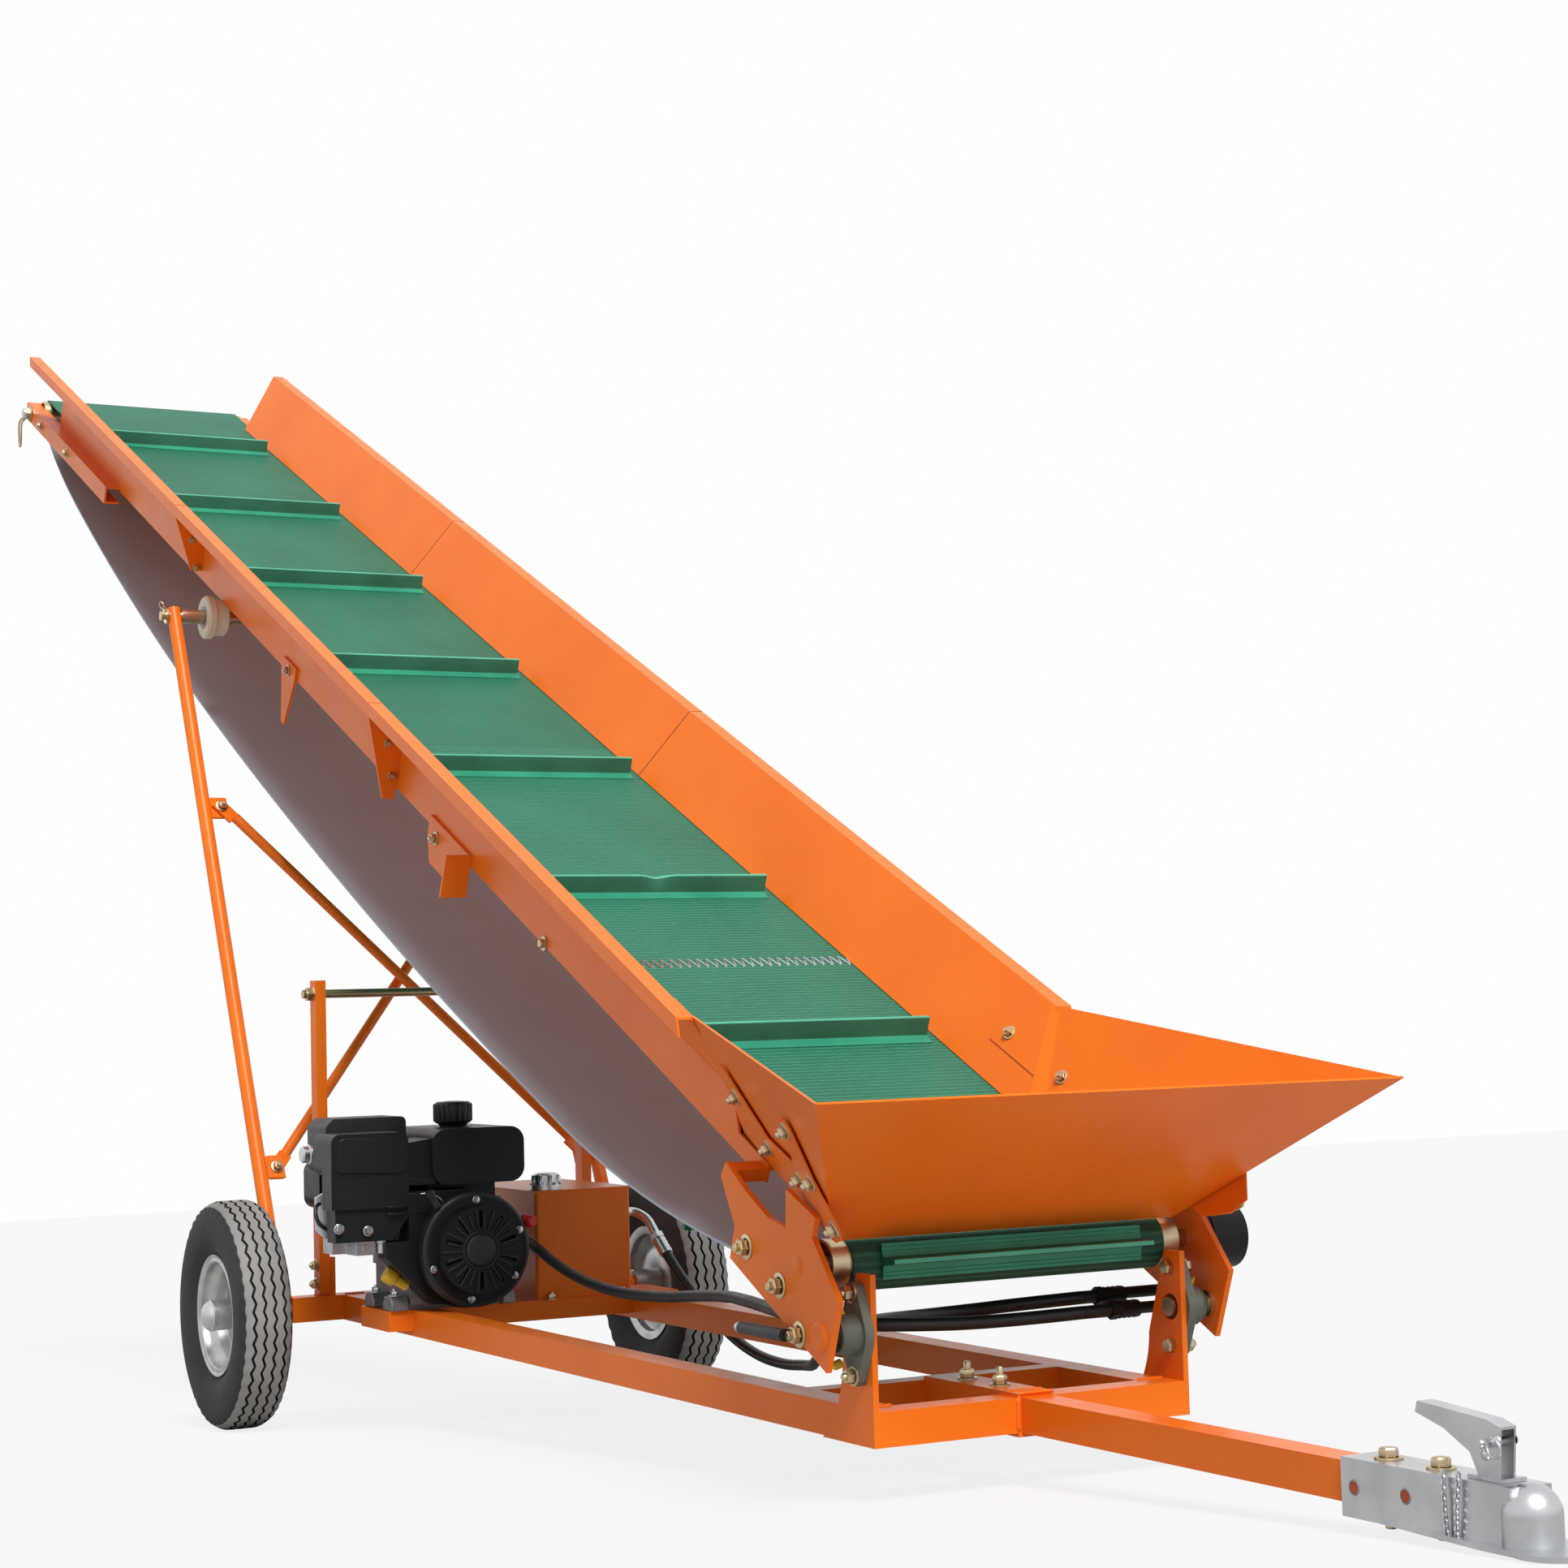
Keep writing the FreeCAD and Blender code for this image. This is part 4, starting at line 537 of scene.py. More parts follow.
# Deep dish: the disc is far inboard, the outer flange is a double ring
rimForm = {
    "dish": ((28, -10), (34, -14), (52, -15), (70, -8), (76, -9), (79, -4), (80, 8), (84, 14), (91, 18),
             (94, 24), (95, 33), (98, 35.5), (101, 35), (103, 34.4), (106, 35.6), (109, 37), (109.6, 35.4),
             (107, 33.5), (101, 32.5), (97, 31)),
    "back": ((97, -31), (101, -32.5), (107, -33.5), (109.6, -35.4), (109, -37), (104, -36), (98, -35),
             (94, -33), (93, -20), (88, -16), (84, -10), (80, -6), (76, -11), (60, -18), (34, -17), (28, -13)),
    "hub": ((16, -69), (25.5, -69), (27, -67), (27, -12), (31, -11), (31, -4), (27, -3), (27, 40), (28.4, 41),
            (28.4, 46), (26.8, 47), (25.5, 50), (22, 55), (16, 58.4), (8, 59.8), (0.5, 60))}


def addRim(name, sign):
    shape = Shape("wheel_" + name)
    for key, steps, mark in (("dish", 72, 0), ("back", 72, 0), ("hub", 48, 1)):
        profile = [(radius, park["track"] + along) for radius, along in rimForm[key]]
        shape.turned(park["axle"], (0, sign, 0), profile, steps, mark)
    shape.piece("wheel_" + name, "galvanised", "silver", replaced=["rim_" + name])


for name, sign in (("near", -1), ("far", 1)):
    addTyre(name, sign)
    addRim(name, sign)
print("scene: wheels")


def addBolts():
    tail = Shape("boom")
    plateSpots = [toBoom @ Vector((x, 303, z)) for x, z in ((-217, 242), (-127, 198), (-77, 140))]
    tail.boltPairs(plateSpots, wayY, (20, 12, 17, 7))
    tail.piece("tail_bolts", "zinc")
    bolts = Shape("chassis")
    bolts.boltPairs([(-25, 255, z) for z in (89, 193)], wayY, (17, 11, 13, 6))
    bolts.boltPairs([(-25, 234, z) for z in (89, 193)], (0, -1, 0), (17, 8, 0.6, 0))
    for x in (-168, -86):
        bolts.bolt((x, 0, 50.3), wayZ, (17, 12, 14, 12))
    for x in (698, 783):
        bolts.bolt((x, 0, 50.4), wayZ, (19, 11, 16, 0))
    bolts.piece("frame_bolts", "zinc")


addBolts()
print("scene: bolts")


beltForm = {"inner": 32.6, "gauge": 4, "half": 240, "head": 4370, "tailAngle": -69,
            "headAngle": 235, "tailRun": 480.7, "headRun": 110.1, "tailSteps": 28, "headSteps": 24,
            "bow": ((1300.1, 256.1), (2180.2, 266.1), (3000, 242.1), (3700.1, 181.8)), "bowSteps": 14}
beltMiddle = beltForm["inner"] + beltForm["gauge"] / 2
beltOutside = beltForm["inner"] + beltForm["gauge"]


# A belt band through stations of (x, z, way out x, way out z) on its middle line
def addBand(shape, stations, outer, inner):
    half = beltForm["gauge"] / 2
    wide = beltForm["half"]
    points, faces = [], []
    for x, z, outX, outZ in stations:
        for lift in (half, -half):
            points += [(x + outX * lift, across, z + outZ * lift) for across in (-wide, wide)]
    for a in range(0, len(points) - 4, 4):
        b = a + 4
        faces += [(a, b, b + 1, a + 1), (a + 3, b + 3, b + 2, a + 2), (a + 2, b + 2, b, a),
                  (a + 1, b + 1, b + 3, a + 3)]
    shape.add(points, faces, [outer, inner, inner, inner] * (len(stations) - 1))


cleatForm = {"half": 200, "web": 4.5, "tip": 3.2, "high": 34, "first": 577, "pitch": 565, "count": 7,
             "turn": 62, "returnFirst": 520, "returnLast": 4350,
             "foot": ((23, 0), (23, 1.8), (19, 3), (18, 2.2), (14, 3.2), (13, 2.6),
                      (9, 3.8), (5.6, 5.4))}
dentForm = {"cleat": 1, "share": 0.09, "back": 10, "down": 9, "from": 8,
            "steps": (-1, -0.86, -0.3, -0.16, -0.1, -0.05, 0, 0.05, 0.1, 0.16, 0.3, 0.86, 1)}


# A cleat across the belt: ribbed foot strips, a web that tapers, and a pale edge on top that is a painted
# highlight; the foot, web and edge are lit and shaded copies of one green, darker on the web and paler towards
# the tip
def addCleat(shape, x, z, outX, outZ, marks, dented=False):
    form = cleatForm
    section = [*form["foot"], (form["web"], 8), (form["tip"], form["high"] - 1.2),
               (form["tip"] - 0.8, form["high"])]
    outline = section + [(-across, up) for across, up in reversed(section)]
    count, middle = len(outline), len(section)
    steps = dentForm["steps"] if dented else (-1, 1)
    points, faces, kinds = [], [], []
    for step in steps:
        dent = math.exp(-(step / dentForm["share"]) ** 2) if dented else 0
        for across, up in outline:
            bent = dent * max(0, (up - dentForm["from"]) / (form["high"] - dentForm["from"]))
            reach, rise = across - bent * dentForm["back"], up - bent * dentForm["down"]
            points.append((x + outZ * reach + outX * rise, step * form["half"],
                           z - outX * reach + outZ * rise))
    for here in range(0, len(points) - count, count):
        for index in range(count):
            after = (index + 1) % count
            faces.append((here + index, here + after, here + count + after, here + count + index))
            onFoot = min(index, count - 2 - index) < 7 or index == count - 1
            # painted highlight on the top faces of the cleat
            onEdge = index in (middle - 2, middle - 1, middle)
            kinds.append(marks["edge"] if onEdge else marks["foot"] if onFoot else marks["web"])
    last = len(points) - count
    faces += [tuple(range(count - 1, -1, -1)), tuple(range(last, last + count))]
    shape.add(points, faces, kinds + [marks["web"]] * 2)


lacingForm = {"start": 846, "end": 878, "bend": 3, "hooks": 60, "half": 232, "slant": 3.2, "high": 1.6,
              "wire": 1.1}


def addLacing(shape, mark):
    # zigzag of wire hooks that joins the belt's ends
    form = lacingForm
    start, end = form["start"] + form["bend"], form["end"] - form["bend"]
    faces = []
    for a in (0, 3, 6):
        b = a + 3
        faces += [(a, a + 1, b + 1, b), (a + 1, a + 2, b + 2, b + 1), (a + 2, a, b, b + 2)]
    for index in range(form["hooks"]):
        y = form["half"] * (2 * index / (form["hooks"] - 1) - 1)
        slant = form["slant"] if index % 2 else -form["slant"]
        wire = []
        for reach, aside, lift in ((form["start"], -slant, 0), (start, -slant * 0.8, 1), (end, slant * 0.8, 1),
                                   (form["end"], slant, 0)):
            level = beltOutside + lift * form["high"]
            wire += [(-reach, y + aside - form["wire"], level - 0.6),
                     (-reach, y + aside + form["wire"], level - 0.6), (-reach, y + aside, level + 1)]
        shape.add(wire, faces, mark)


def drumStations(first, last, steps, reach):
    stations = []
    for step in range(steps + 1):
        angle = math.radians(first + (last - first) * step / steps)
        out = (math.cos(angle), math.sin(angle))
        stations.append((beltMiddle * out[0] - reach, beltMiddle * out[1]) + out)
    return stations


def addCarryingRun():
    shape = Shape("boom")
    addBand(shape, drumStations(beltForm["tailAngle"], 90, beltForm["tailSteps"], 0)
            + drumStations(90, beltForm["headAngle"], beltForm["headSteps"], beltForm["head"]), 0, 0)
    marks = {"web": 1, "foot": 2, "edge": 3}
    for index in range(cleatForm["count"]):
        reach = cleatForm["first"] + index * cleatForm["pitch"]
        addCleat(shape, -reach, beltOutside, 0, 1, marks, index == dentForm["cleat"])
    turn = math.radians(90 - cleatForm["turn"])
    out = (math.cos(turn), math.sin(turn))
    addCleat(shape, beltOutside * out[0], beltOutside * out[1], out[0], out[1], marks)
    addLacing(shape, 4)
    shape.piece("carryingRun", "belt", "cleatWeb", "cleatFoot", "cleatHighlight", "silver", angle=40,
                replaced=["belt_carry"])


# Points along the bow of the slack run: a smooth quadratic curve on its corners
def bowStations():
    start = Vector(drumStations(beltForm["tailAngle"], 90, 1, 0)[0][:2])
    end = Vector(drumStations(90, beltForm["headAngle"], 1, beltForm["head"])[1][:2])
    turn = math.radians(90 + beltForm["tailAngle"])
    rise = math.radians(270 - beltForm["headAngle"])
    corners = [start, start + beltForm["tailRun"] * Vector((-math.cos(turn), -math.sin(turn)))]
    corners += [Vector((-reach, -deep)) for reach, deep in beltForm["bow"]]
    corners += [end + beltForm["headRun"] * Vector((math.cos(rise), -math.sin(rise))), end]
    stops = [corners[0]] + [(a + b) / 2 for a, b in zip(corners[1:-2], corners[2:-1])] + [corners[-1]]
    places = []
    for corner, before, after in zip(corners[1:-1], stops, stops[1:]):
        for step in range(beltForm["bowSteps"]):
            share = step / beltForm["bowSteps"]
            places.append(before * (1 - share) ** 2 + corner * 2 * share * (1 - share) + after * share ** 2)
    places.append(corners[-1])
    stations = []
    for index, spot in enumerate(places):
        way = (places[min(index + 1, len(places) - 1)] - places[max(index - 1, 0)]).normalized()
        stations.append((spot.x, spot.y, -way.y, way.x))
    return stations


def addReturnRun():
    shape = Shape("boom")
    stations = bowStations()
    addBand(shape, stations, 1, 0)
    half = beltForm["gauge"] / 2
    travelled, wanted = 0, cleatForm["returnFirst"]
    for before, after in zip(stations, stations[1:]):
        travelled += math.hypot(after[0] - before[0], after[1] - before[1])
        if travelled >= wanted and wanted < cleatForm["returnLast"]:
            x, z, outX, outZ = after
            # the cleats of the return run take the dark web green all over: painted shade
            addCleat(shape, x + outX * half, z + outZ * half, outX, outZ, {"web": 2, "foot": 2, "edge": 2})
            wanted += cleatForm["pitch"]
    piece = shape.piece("returnRun", "belt_back", "belt", "cleatWeb", angle=40, replaced=["belt_return"])
    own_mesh(piece)


addCarryingRun()
addReturnRun()
print("scene: belt and cleats")


drumForm = {"end": ((12.6, -37), (20, -34), (28, -30), (28.6, 0), (32.6, 0)),
            "shaft": ((0.3, -303), (11.5, -303), (12.5, -301.5), (12.5, 301.5), (11.5, 303), (0.3, 303))}


# A drum of zinced tube, open at its ends, on its shaft
def addDrum(name, reach, node, half):
    shape = Shape("boom")
    side = [(radius, half + back) for radius, back in drumForm["end"]]
    tube = [(radius, -across) for radius, across in side] + side[::-1]
    shape.turned((-reach, 0, 0), wayY, tube, 64)
    shape.turned((-reach, 0, 0), wayY, drumForm["shaft"], 40, 1)
    shape.piece(name, "zinc", "silver", replaced=[node])


addDrum("tailDrum", 0, "tail_drum", 268)
addDrum("headDrum", beltForm["head"], "head_drum", 254)


panelForm = {"foot": 217, "top": 298, "low": 38, "high": 165, "lip": 323,
             "seams": (1700, 2950), "seamWide": 1.6, "proud": 0.35}


def panelSpot(reach, high, sign, inward=0):
    share = (high - panelForm["low"]) / (panelForm["high"] - panelForm["low"])
    across = panelForm["foot"] + share * (panelForm["top"] - panelForm["foot"])
    return Vector((-reach, sign * (across - inward), high))


def addTroughDetails():
    form = panelForm
    low, high, inner, outer = form["low"] + 1, form["high"] - 1, form["top"] + 1, form["lip"] - 1
    seams, laps, bolts = Shape("boom"), Shape("boom"), Shape("boom")
    for sign in sides:
        inward = Vector((0, -sign * (form["high"] - form["low"]), form["top"] - form["foot"]))
        for reach in form["seams"]:
            past = reach + form["seamWide"]
            corners = ((reach, low), (reach, high), (past, high), (past, low))
            seams.plate([panelSpot(*spot, sign) for spot in corners], inward, form["proud"])
            corners = ((reach, inner), (reach, outer), (past, outer), (past, inner))
            corners = [(-along, sign * across, form["high"]) for along, across in corners]
            seams.plate(corners, wayZ, form["proud"])
        # lap of the hopper's wing inside the side panel
        lap = ((334, 81), (472, 81), (462, high), (399, high))
        laps.plate([panelSpot(*spot, sign) for spot in lap], inward, 2)
        bolts.bolt(panelSpot(443, 102, sign) + inward.normalized() * 2, inward, (13, 7, 11, 5))
    seams.piece("boomJoints", "shadow")
    laps.piece("hopperLaps", "paint", bevel=0.6)
    bolts.piece("hopperLapBolts", "zinc")


addTroughDetails()
print("scene: trough")


# Each hose runs from its fitting to the cut near the boom's pivot
hoseForm = {"radius": 9, "motorFace": 236, "gap": 0.8, "ferrule": 30}
hoseRoutes = {
    "supplyHose": [
        (-1873, -103, 160), (-1808, -38, 163), (-1700, -22, 164), (-1590, -20, 149), (-1480, -20, 117),
        (-1365, -20, 97), (-1220, -22, 88), (-1051, -24, 94), (-880, -42, 111), (-700, -88, 127),
        (-540, -138, 136), (-390, -180, 140), (-262, -210, 140), (-165, -205, 139), (-108, -140, 137),
        (-112, 8, 129), (-110.5, 150, 132)],
    "returnHose": [
        (-1585, 227.5, 139), (-1535, 236, 88), (-1462, 247, 36), (-1360, 252, -14), (-1260, 253, -40),
        (-1155, 250, -45), (-1060, 236, -35), (-970, 201, -25), (-882, 160, -5), (-765, 120, 28),
        (-640, 80, 66), (-530, 46, 92), (-420, 24, 108), (-310, 14, 122), (-208, 30, 136),
        (-150, 92, 146), (-145, 172, 148)]}


def addFerrule(shape, spot, way):
    # crimped sleeve and a hexagon behind it
    sleeve = [(9.2, 0), (11.5, 0), (12.4, 3), (11.2, 7), (12.4, 11), (11.2, 15), (12.4, 19), (11.2, 23),
              (12.4, 27), (11.6, 34), (9.2, 34)]
    shape.turned(spot, way, sleeve, 24)
    start = Vector(spot) - Vector(way).normalized() * 12
    shape.turned(start, way, [(8, 0), (13, 0), (13, 11), (8, 11)], 6)


def addHoses():
    radius, gap, face = hoseForm["radius"], hoseForm["gap"], hoseForm["motorFace"]
    fittings, motor = Shape("chassis"), Shape("boom")
    for name, route in hoseRoutes.items():
        addCurve(name, "chassis", route, radius, "hose", replaced=["hose_lines"])
        addFerrule(fittings, route[0], Vector(route[1]) - Vector(route[0]))
    for name, route in zip(("motorHose1", "motorHose2"), hoseRoutes.values()):
        start = toBoom @ Vector(route[-1])
        points = [(start.x, start.y + gap + share * (face - start.y - gap - 0.3), start.z)
                  for share in (0, 0.34, 0.67, 1)]
        addCurve(name, "boom", points, radius, "hose", replaced=["hose_motor"])
        addFerrule(motor, (start.x, face - hoseForm["ferrule"], start.z), wayY)
    motor.piece("motorFerrules", "black_paint")
    fittings.piece("hoseFerrules", "silver")


addHoses()
print("scene: hoses")


engineForm = {"crank": (-1500, -152, 150), "face": -1555.5, "boltFace": -1561.7, "ribs": 26,
              "cap": (-1665, -134, 357.6), "capRadius": 33, "knurls": 20}


def addBlackTrim():
    form = engineForm
    black = Shape("chassis")
    # recoil cover: stepped rim, radial ribs and a bare middle disc
    crank = Vector(form["crank"])
    black.turned(crank, wayX, [(96.3, -40), (98.4, -38), (98.4, -22), (95, -19), (91, -18.6)], 72)
    black.turned(crank, wayX, [(0.3, 4.6), (20, 4.6), (25, 3.8), (27, 1.4), (27, -0.5)], 56)
    black.turned(crank, wayX, [(30.5, -0.3), (31.3, 1.6), (33, 1.6), (33.8, -0.3)], 56)
    for index, (across, up) in enumerate(around(form["ribs"])):
        out, side = Vector((0, across, up)), Vector((0, -up, across))
        inner, outer = crank + out * 36, crank + out * (71 if index % 2 else 64)
        black.plate([inner - side * 1.3, outer - side * 2, outer + side * 2, inner + side * 1.3],
                    wayX, 3.2)
    # big knurled fuel cap
    cap, radius = Vector(form["cap"]), form["capRadius"]
    black.turned(cap, wayZ, [(24, 0), (26, 4), (radius - 2, 6), (radius, 9), (radius, 38),
                                  (radius - 4, 42.5), (12, 44), (0.3, 44)], 56)
    for ahead, across in around(form["knurls"]):
        black.turned(cap + Vector((ahead, across, 0)) * (radius - 0.6) + Vector((0, 0, 8)), wayZ,
                     [(0.3, 0), (2.6, 1), (2.6, 30), (0.3, 32)], 8)
    black.piece("engineTrim", "black_plastic", bevel=0.5, replaced=["tank_cap"])


def addEnginePlates():
    # raised bare panel and ribs on the front cover
    panel = Shape("chassis")
    face = engineForm["face"]
    outline = [(-392, 296), (-386, 345), (-378, 349), (-276, 344), (-270, 338), (-270, 292), (-276, 286),
               (-386, 290)]
    panel.plate([(face, y, z) for y, z in outline], wayX, 2.4)
    for z in (226, 214):
        panel.block((face - 2, -300, z), (face + 1.6, -268, z + 5))
    panel.block((face - 48, -262, 214), (face - 4, -214, 250))
    panel.block((face - 40, -268, 262), (face - 12, -206, 276))
    panel.piece("coverPanel", "black_paint", bevel=1.2)
    # carburettor and governor plates at the lower left
    grey = Shape("chassis")
    grey.plate([(-1652, -398, 246), (-1646, -370, 262), (-1640, -352, 240), (-1640, -352, 176),
                (-1648, -376, 168), (-1652, -398, 190)], (1, 0.3, 0), 3)
    grey.block((-1650, -384, 150), (-1604, -348, 176))
    grey.block((-1622, -352, 148), (-1572, -318, 174))
    bowl = [(0.3, 0), (9, 0), (9, 16), (11, 18), (11, 25), (7, 27), (0.3, 27)]
    grey.turned((-1578, -305, 150), wayZ, bowl, 28)
    for y, z in ((-366, 163), (-336, 161)):
        grey.turned((-1572, y, z), wayX, [(3.2, 0.4), (5.6, 0.6), (5.6, -1), (3.2, -1)], 20)
    grey.piece("carburettorPlates", "silver", bevel=1)
    feet = Shape("chassis")
    for x in (-1744, -1652):
        outline = [(x, 45.2), (x + 44, 45.2), (x + 44, 58), (x + 36, 70), (x + 8, 70), (x, 58)]
        for low, high in ((-276, -244), (-68, -44)):
            feet.prism(outline, low, high)
    feet.piece("engineFeet", "engine", bevel=2)


def addEngineBolts():
    bolts = Shape("chassis")
    for y, z in ((-386, 196), (-334, 190)):
        bolts.bolt((engineForm["boltFace"], y, z), wayX, (12, 6, 9, 0))
    for angle in (200, 262, 325, 20, 90):
        turn = math.radians(angle)
        ring = Vector((-20, 85 * math.cos(turn), 85 * math.sin(turn)))
        bolts.bolt(Vector(engineForm["crank"]) + ring, wayX, (8, 5, 6.5, 0))
    for y in (-262, -62):
        for x in (-1722, -1630):
            bolts.bolt((x, y, 70), wayZ, (13, 8, 11, 5))
    # knob of the air cleaner
    knob = [(0.3, 30), (12, 30), (14.5, 27), (14.5, 18), (18, 16), (18, 5), (14, 2), (14, -1)]
    bolts.turned((-1702, -373.5, 318), (0, -1, 0), knob, 12)
    bolts.piece("engineBolts", "silver")


def addEngineSmalls():
    addTurned("oilCap", "chassis", (-1600, -250, 88), (0, -0.82, 0.5),
              [(0.3, 0), (9, 0), (9, 24), (13, 26), (14.5, 30), (14.5, 44), (12, 48), (0.3, 48)], 10,
              "yellow", bevel=0.8)
    addTurned("stopSwitch", "chassis", (-1536, -50, 192), (1, 0.35, 0),
              [(0.3, 16), (8, 16), (10, 13), (10, 3), (13, 2), (13, -4)], 20, "red")
    # the spark plug's lead, the governor's wire and the pull handle of the recoil starter
    lead = [(-1668, -352, 232), (-1650, -392, 240), (-1634, -404, 222), (-1630, -396, 196), (-1634, -372, 186)]
    addCurve("plugLead", "chassis", lead, 3.4, "hose")
    wire = [(-1600, -262, 240), (-1570, -250, 246), (-1552, -226, 250), (-1550, -206, 240), (-1552, -200, 232)]
    addCurve("throttleWire", "chassis", wire, 1.4, "silver")
    addTurned("pullHandle", "chassis", (-1522, -222, 226), (0, -0.5, 0.86),
              [(0.3, 0), (7, 1), (6, 8), (6, 20), (9, 26), (9, 31), (0.3, 32)], 16, "black_plastic")


addBlackTrim()
addEnginePlates()
addEngineBolts()
addEngineSmalls()
print("scene: engine")


tankForm = {"cap": (-1651, 37, 250), "petals": 8, "petalRing": 22.5, "screws": 6, "screwRing": 26.5,
            "screwDrop": 3.7}


def addTankTrim():
    # star cap of the oil tank's breather with its screws, and the bolts at the tank's foot
    shape = Shape("chassis")
    cap = Vector(tankForm["cap"])
    for ahead, across in around(tankForm["petals"]):
        shape.turned(cap + Vector((ahead, across, 0)) * tankForm["petalRing"], wayZ,
                     [(0.3, 0), (5.5, 1), (5.5, 10), (4, 13), (0.3, 14)], 16)
    shape.turned(cap, wayZ, [(23.2, 8), (23.2, 13), (20, 15.5), (12, 17), (0.3, 17)], 40)
    for ahead, across in around(tankForm["screws"], 0.3):
        spot = cap + Vector((ahead, across, 0)) * tankForm["screwRing"]
        shape.bolt(spot - Vector((0, 0, tankForm["screwDrop"])), wayZ, (5, 3, 3.6, 0))
    shape.piece("breatherCap", "silver")
    bolts = Shape("chassis")
    for x, y, sizes in ((-1611, 26, (12, 8, 10, 5)), (-1611, 166, (12, 8, 10, 5)),
                        (-1790, -212, (15, 10, 12, 10)), (-1830, 212, (15, 10, 12, 10))):
        bolts.bolt((x, y, 45.2), wayZ, sizes)
    bolts.piece("tankBolts", "zinc")


addTankTrim()


beadForm = {"step": 3.2, "least": 4, "mean": 0.86, "swell": 0.14}
pairedBeads = [((0, 28, 1), (0, 28, 46), 3.4), ((-45, 188, 45), (-45, 232, 45), 3.4),
               ((-130, 234, 3), (-4, 234, 3), 3), ((-44, 189, 2), (-44, 189, 44), 3.4),
               ((-1972.5, 190, 45), (-1972.5, 232, 45), 3.4), ((-1615, 234.5, 12), (-1615, 234.5, 44), 3.4),
               ((-2010, 275.6, 46), (-1980, 275.6, 46), 3.4), ((-2017, 330, 44), (-1973, 330, 44), 3.4)]


# Beads of weld along the joints of the frame
def addBead(shape, start, end, radius):
    start, end = Vector(start), Vector(end)
    way = end - start
    count = max(beadForm["least"], int(way.length / beadForm["step"]))
    profile = [(0.2, 0)]
    for step in range(1, count):
        swell = beadForm["mean"] + beadForm["swell"] * (-1) ** step
        profile.append((radius * swell, way.length * step / count))
    profile.append((0.2, way.length))
    shape.turned(start, way, profile, 8)


def addBeads():
    shape = Shape("chassis")
    for start, end, radius in pairedBeads:
        for sign in sides:
            addBead(shape, flip(start, sign), flip(end, sign), radius)
    addBead(shape, (-27, -28, 50.2), (-27, 28, 50.2), 2.6)
    addBead(shape, (0.5, -27, 50.4), (0.5, 27, 50.4), 2.6)
    shape.piece("frameWelds", "paint", angle=60)
    shape = Shape("prop_legs")
    for sign in sides:
        for reach in (258, 302, 1026, 1070):
            addBead(shape, (0, sign * 331, reach), (0, sign * 300, reach), 2.4)
    shape.piece("legWelds", "paint", angle=60)


def addLegTrim():
    long = legPlace["long"]
    bolts = Shape("prop_legs")
    for sign in sides:
        bolts.bolt((9.6 if sign < 0 else 3.2, sign * 311.5, 1048), wayX, (15, 9, 12, 6))
        bolts.bolt((9.6 if sign > 0 else 3.2, sign * 311.5, 280), wayX, (15, 9, 12, 6))
    # split pin through the end of the shaft, and its washer
    bolts.turnedPair((0, 366, long - 17), wayZ, [(0.3, 0), (1.8, 1), (1.8, 33), (0.3, 34)], 10)
    bolts.turnedPair((0, 366, long), wayY, [(10.2, -5), (17, -5), (17, -2.6), (10.2, -2.6)], 28)
    bolts.piece("legBolts", "zinc")
    dark = Shape("prop_legs")
    for across, way in ((284.4, 1), (237.6, -1)):
        dark.turnedPair((0, across, long), (0, way, 0), [(15.4, -0.8), (23, -0.8), (23, 1), (15.4, 1)], 32)
    dark.piece("rollerWashers", "engine")
    ring = ((6, -366, 17), (12, -368, 22), (8, -372, 30), (-3, -372, 28), (-6, -368, 20), (0, -365, 16))
    addCurve("pinRing", "prop_legs", [(x, y, long + z) for x, y, z in ring], 1.5, "zinc", closed=True)


addBeads()
addLegTrim()
print("scene: legs and welds")


# The hopper's wing is a plane through three spots; its small plates and bolts lie on it
hopperForm = {
    "bend": (-399.7, 298, 165), "lip": (227.5, 438, 441), "foot": (-54, 263, 256.5),
    "sheet": 3.2, "plate": 3, "strip": 2, "bridge": 1.2, "inset": -0.3,
    "outline": ((296, 40), (292, 148), (262, 140), (150, 108), (40, 128), (6, 214), (-12, 206), (-44, 150),
                (-92, 108), (-84, 84), (-50, 62), (0, 60), (120, 52)),
    "bolts": ((256, 116), (159, 89), (29, 111), (7, 193), (-36, 142), (-77, 98)),
    "strips": (((334, 81), (288, 81), (352, 163), (398, 163)), ((301, 40), (334, 81), (318, 81), (285, 40)))}


def wingPlane(sign):
    spot = flip(hopperForm["bend"], sign)
    lip, foot = (toBoom @ flip(hopperForm[key], sign) for key in ("lip", "foot"))
    normal = (lip - spot).cross(foot - spot).normalized()
    return spot, -normal if normal.y * sign < 0 else normal


def wingSpot(reach, high, sign, out):
    spot, normal = wingPlane(sign)
    y = spot.y - (normal.x * (-reach - spot.x) + normal.z * (high - spot.z)) / normal.y
    return Vector((-reach, y, high)) + normal * out


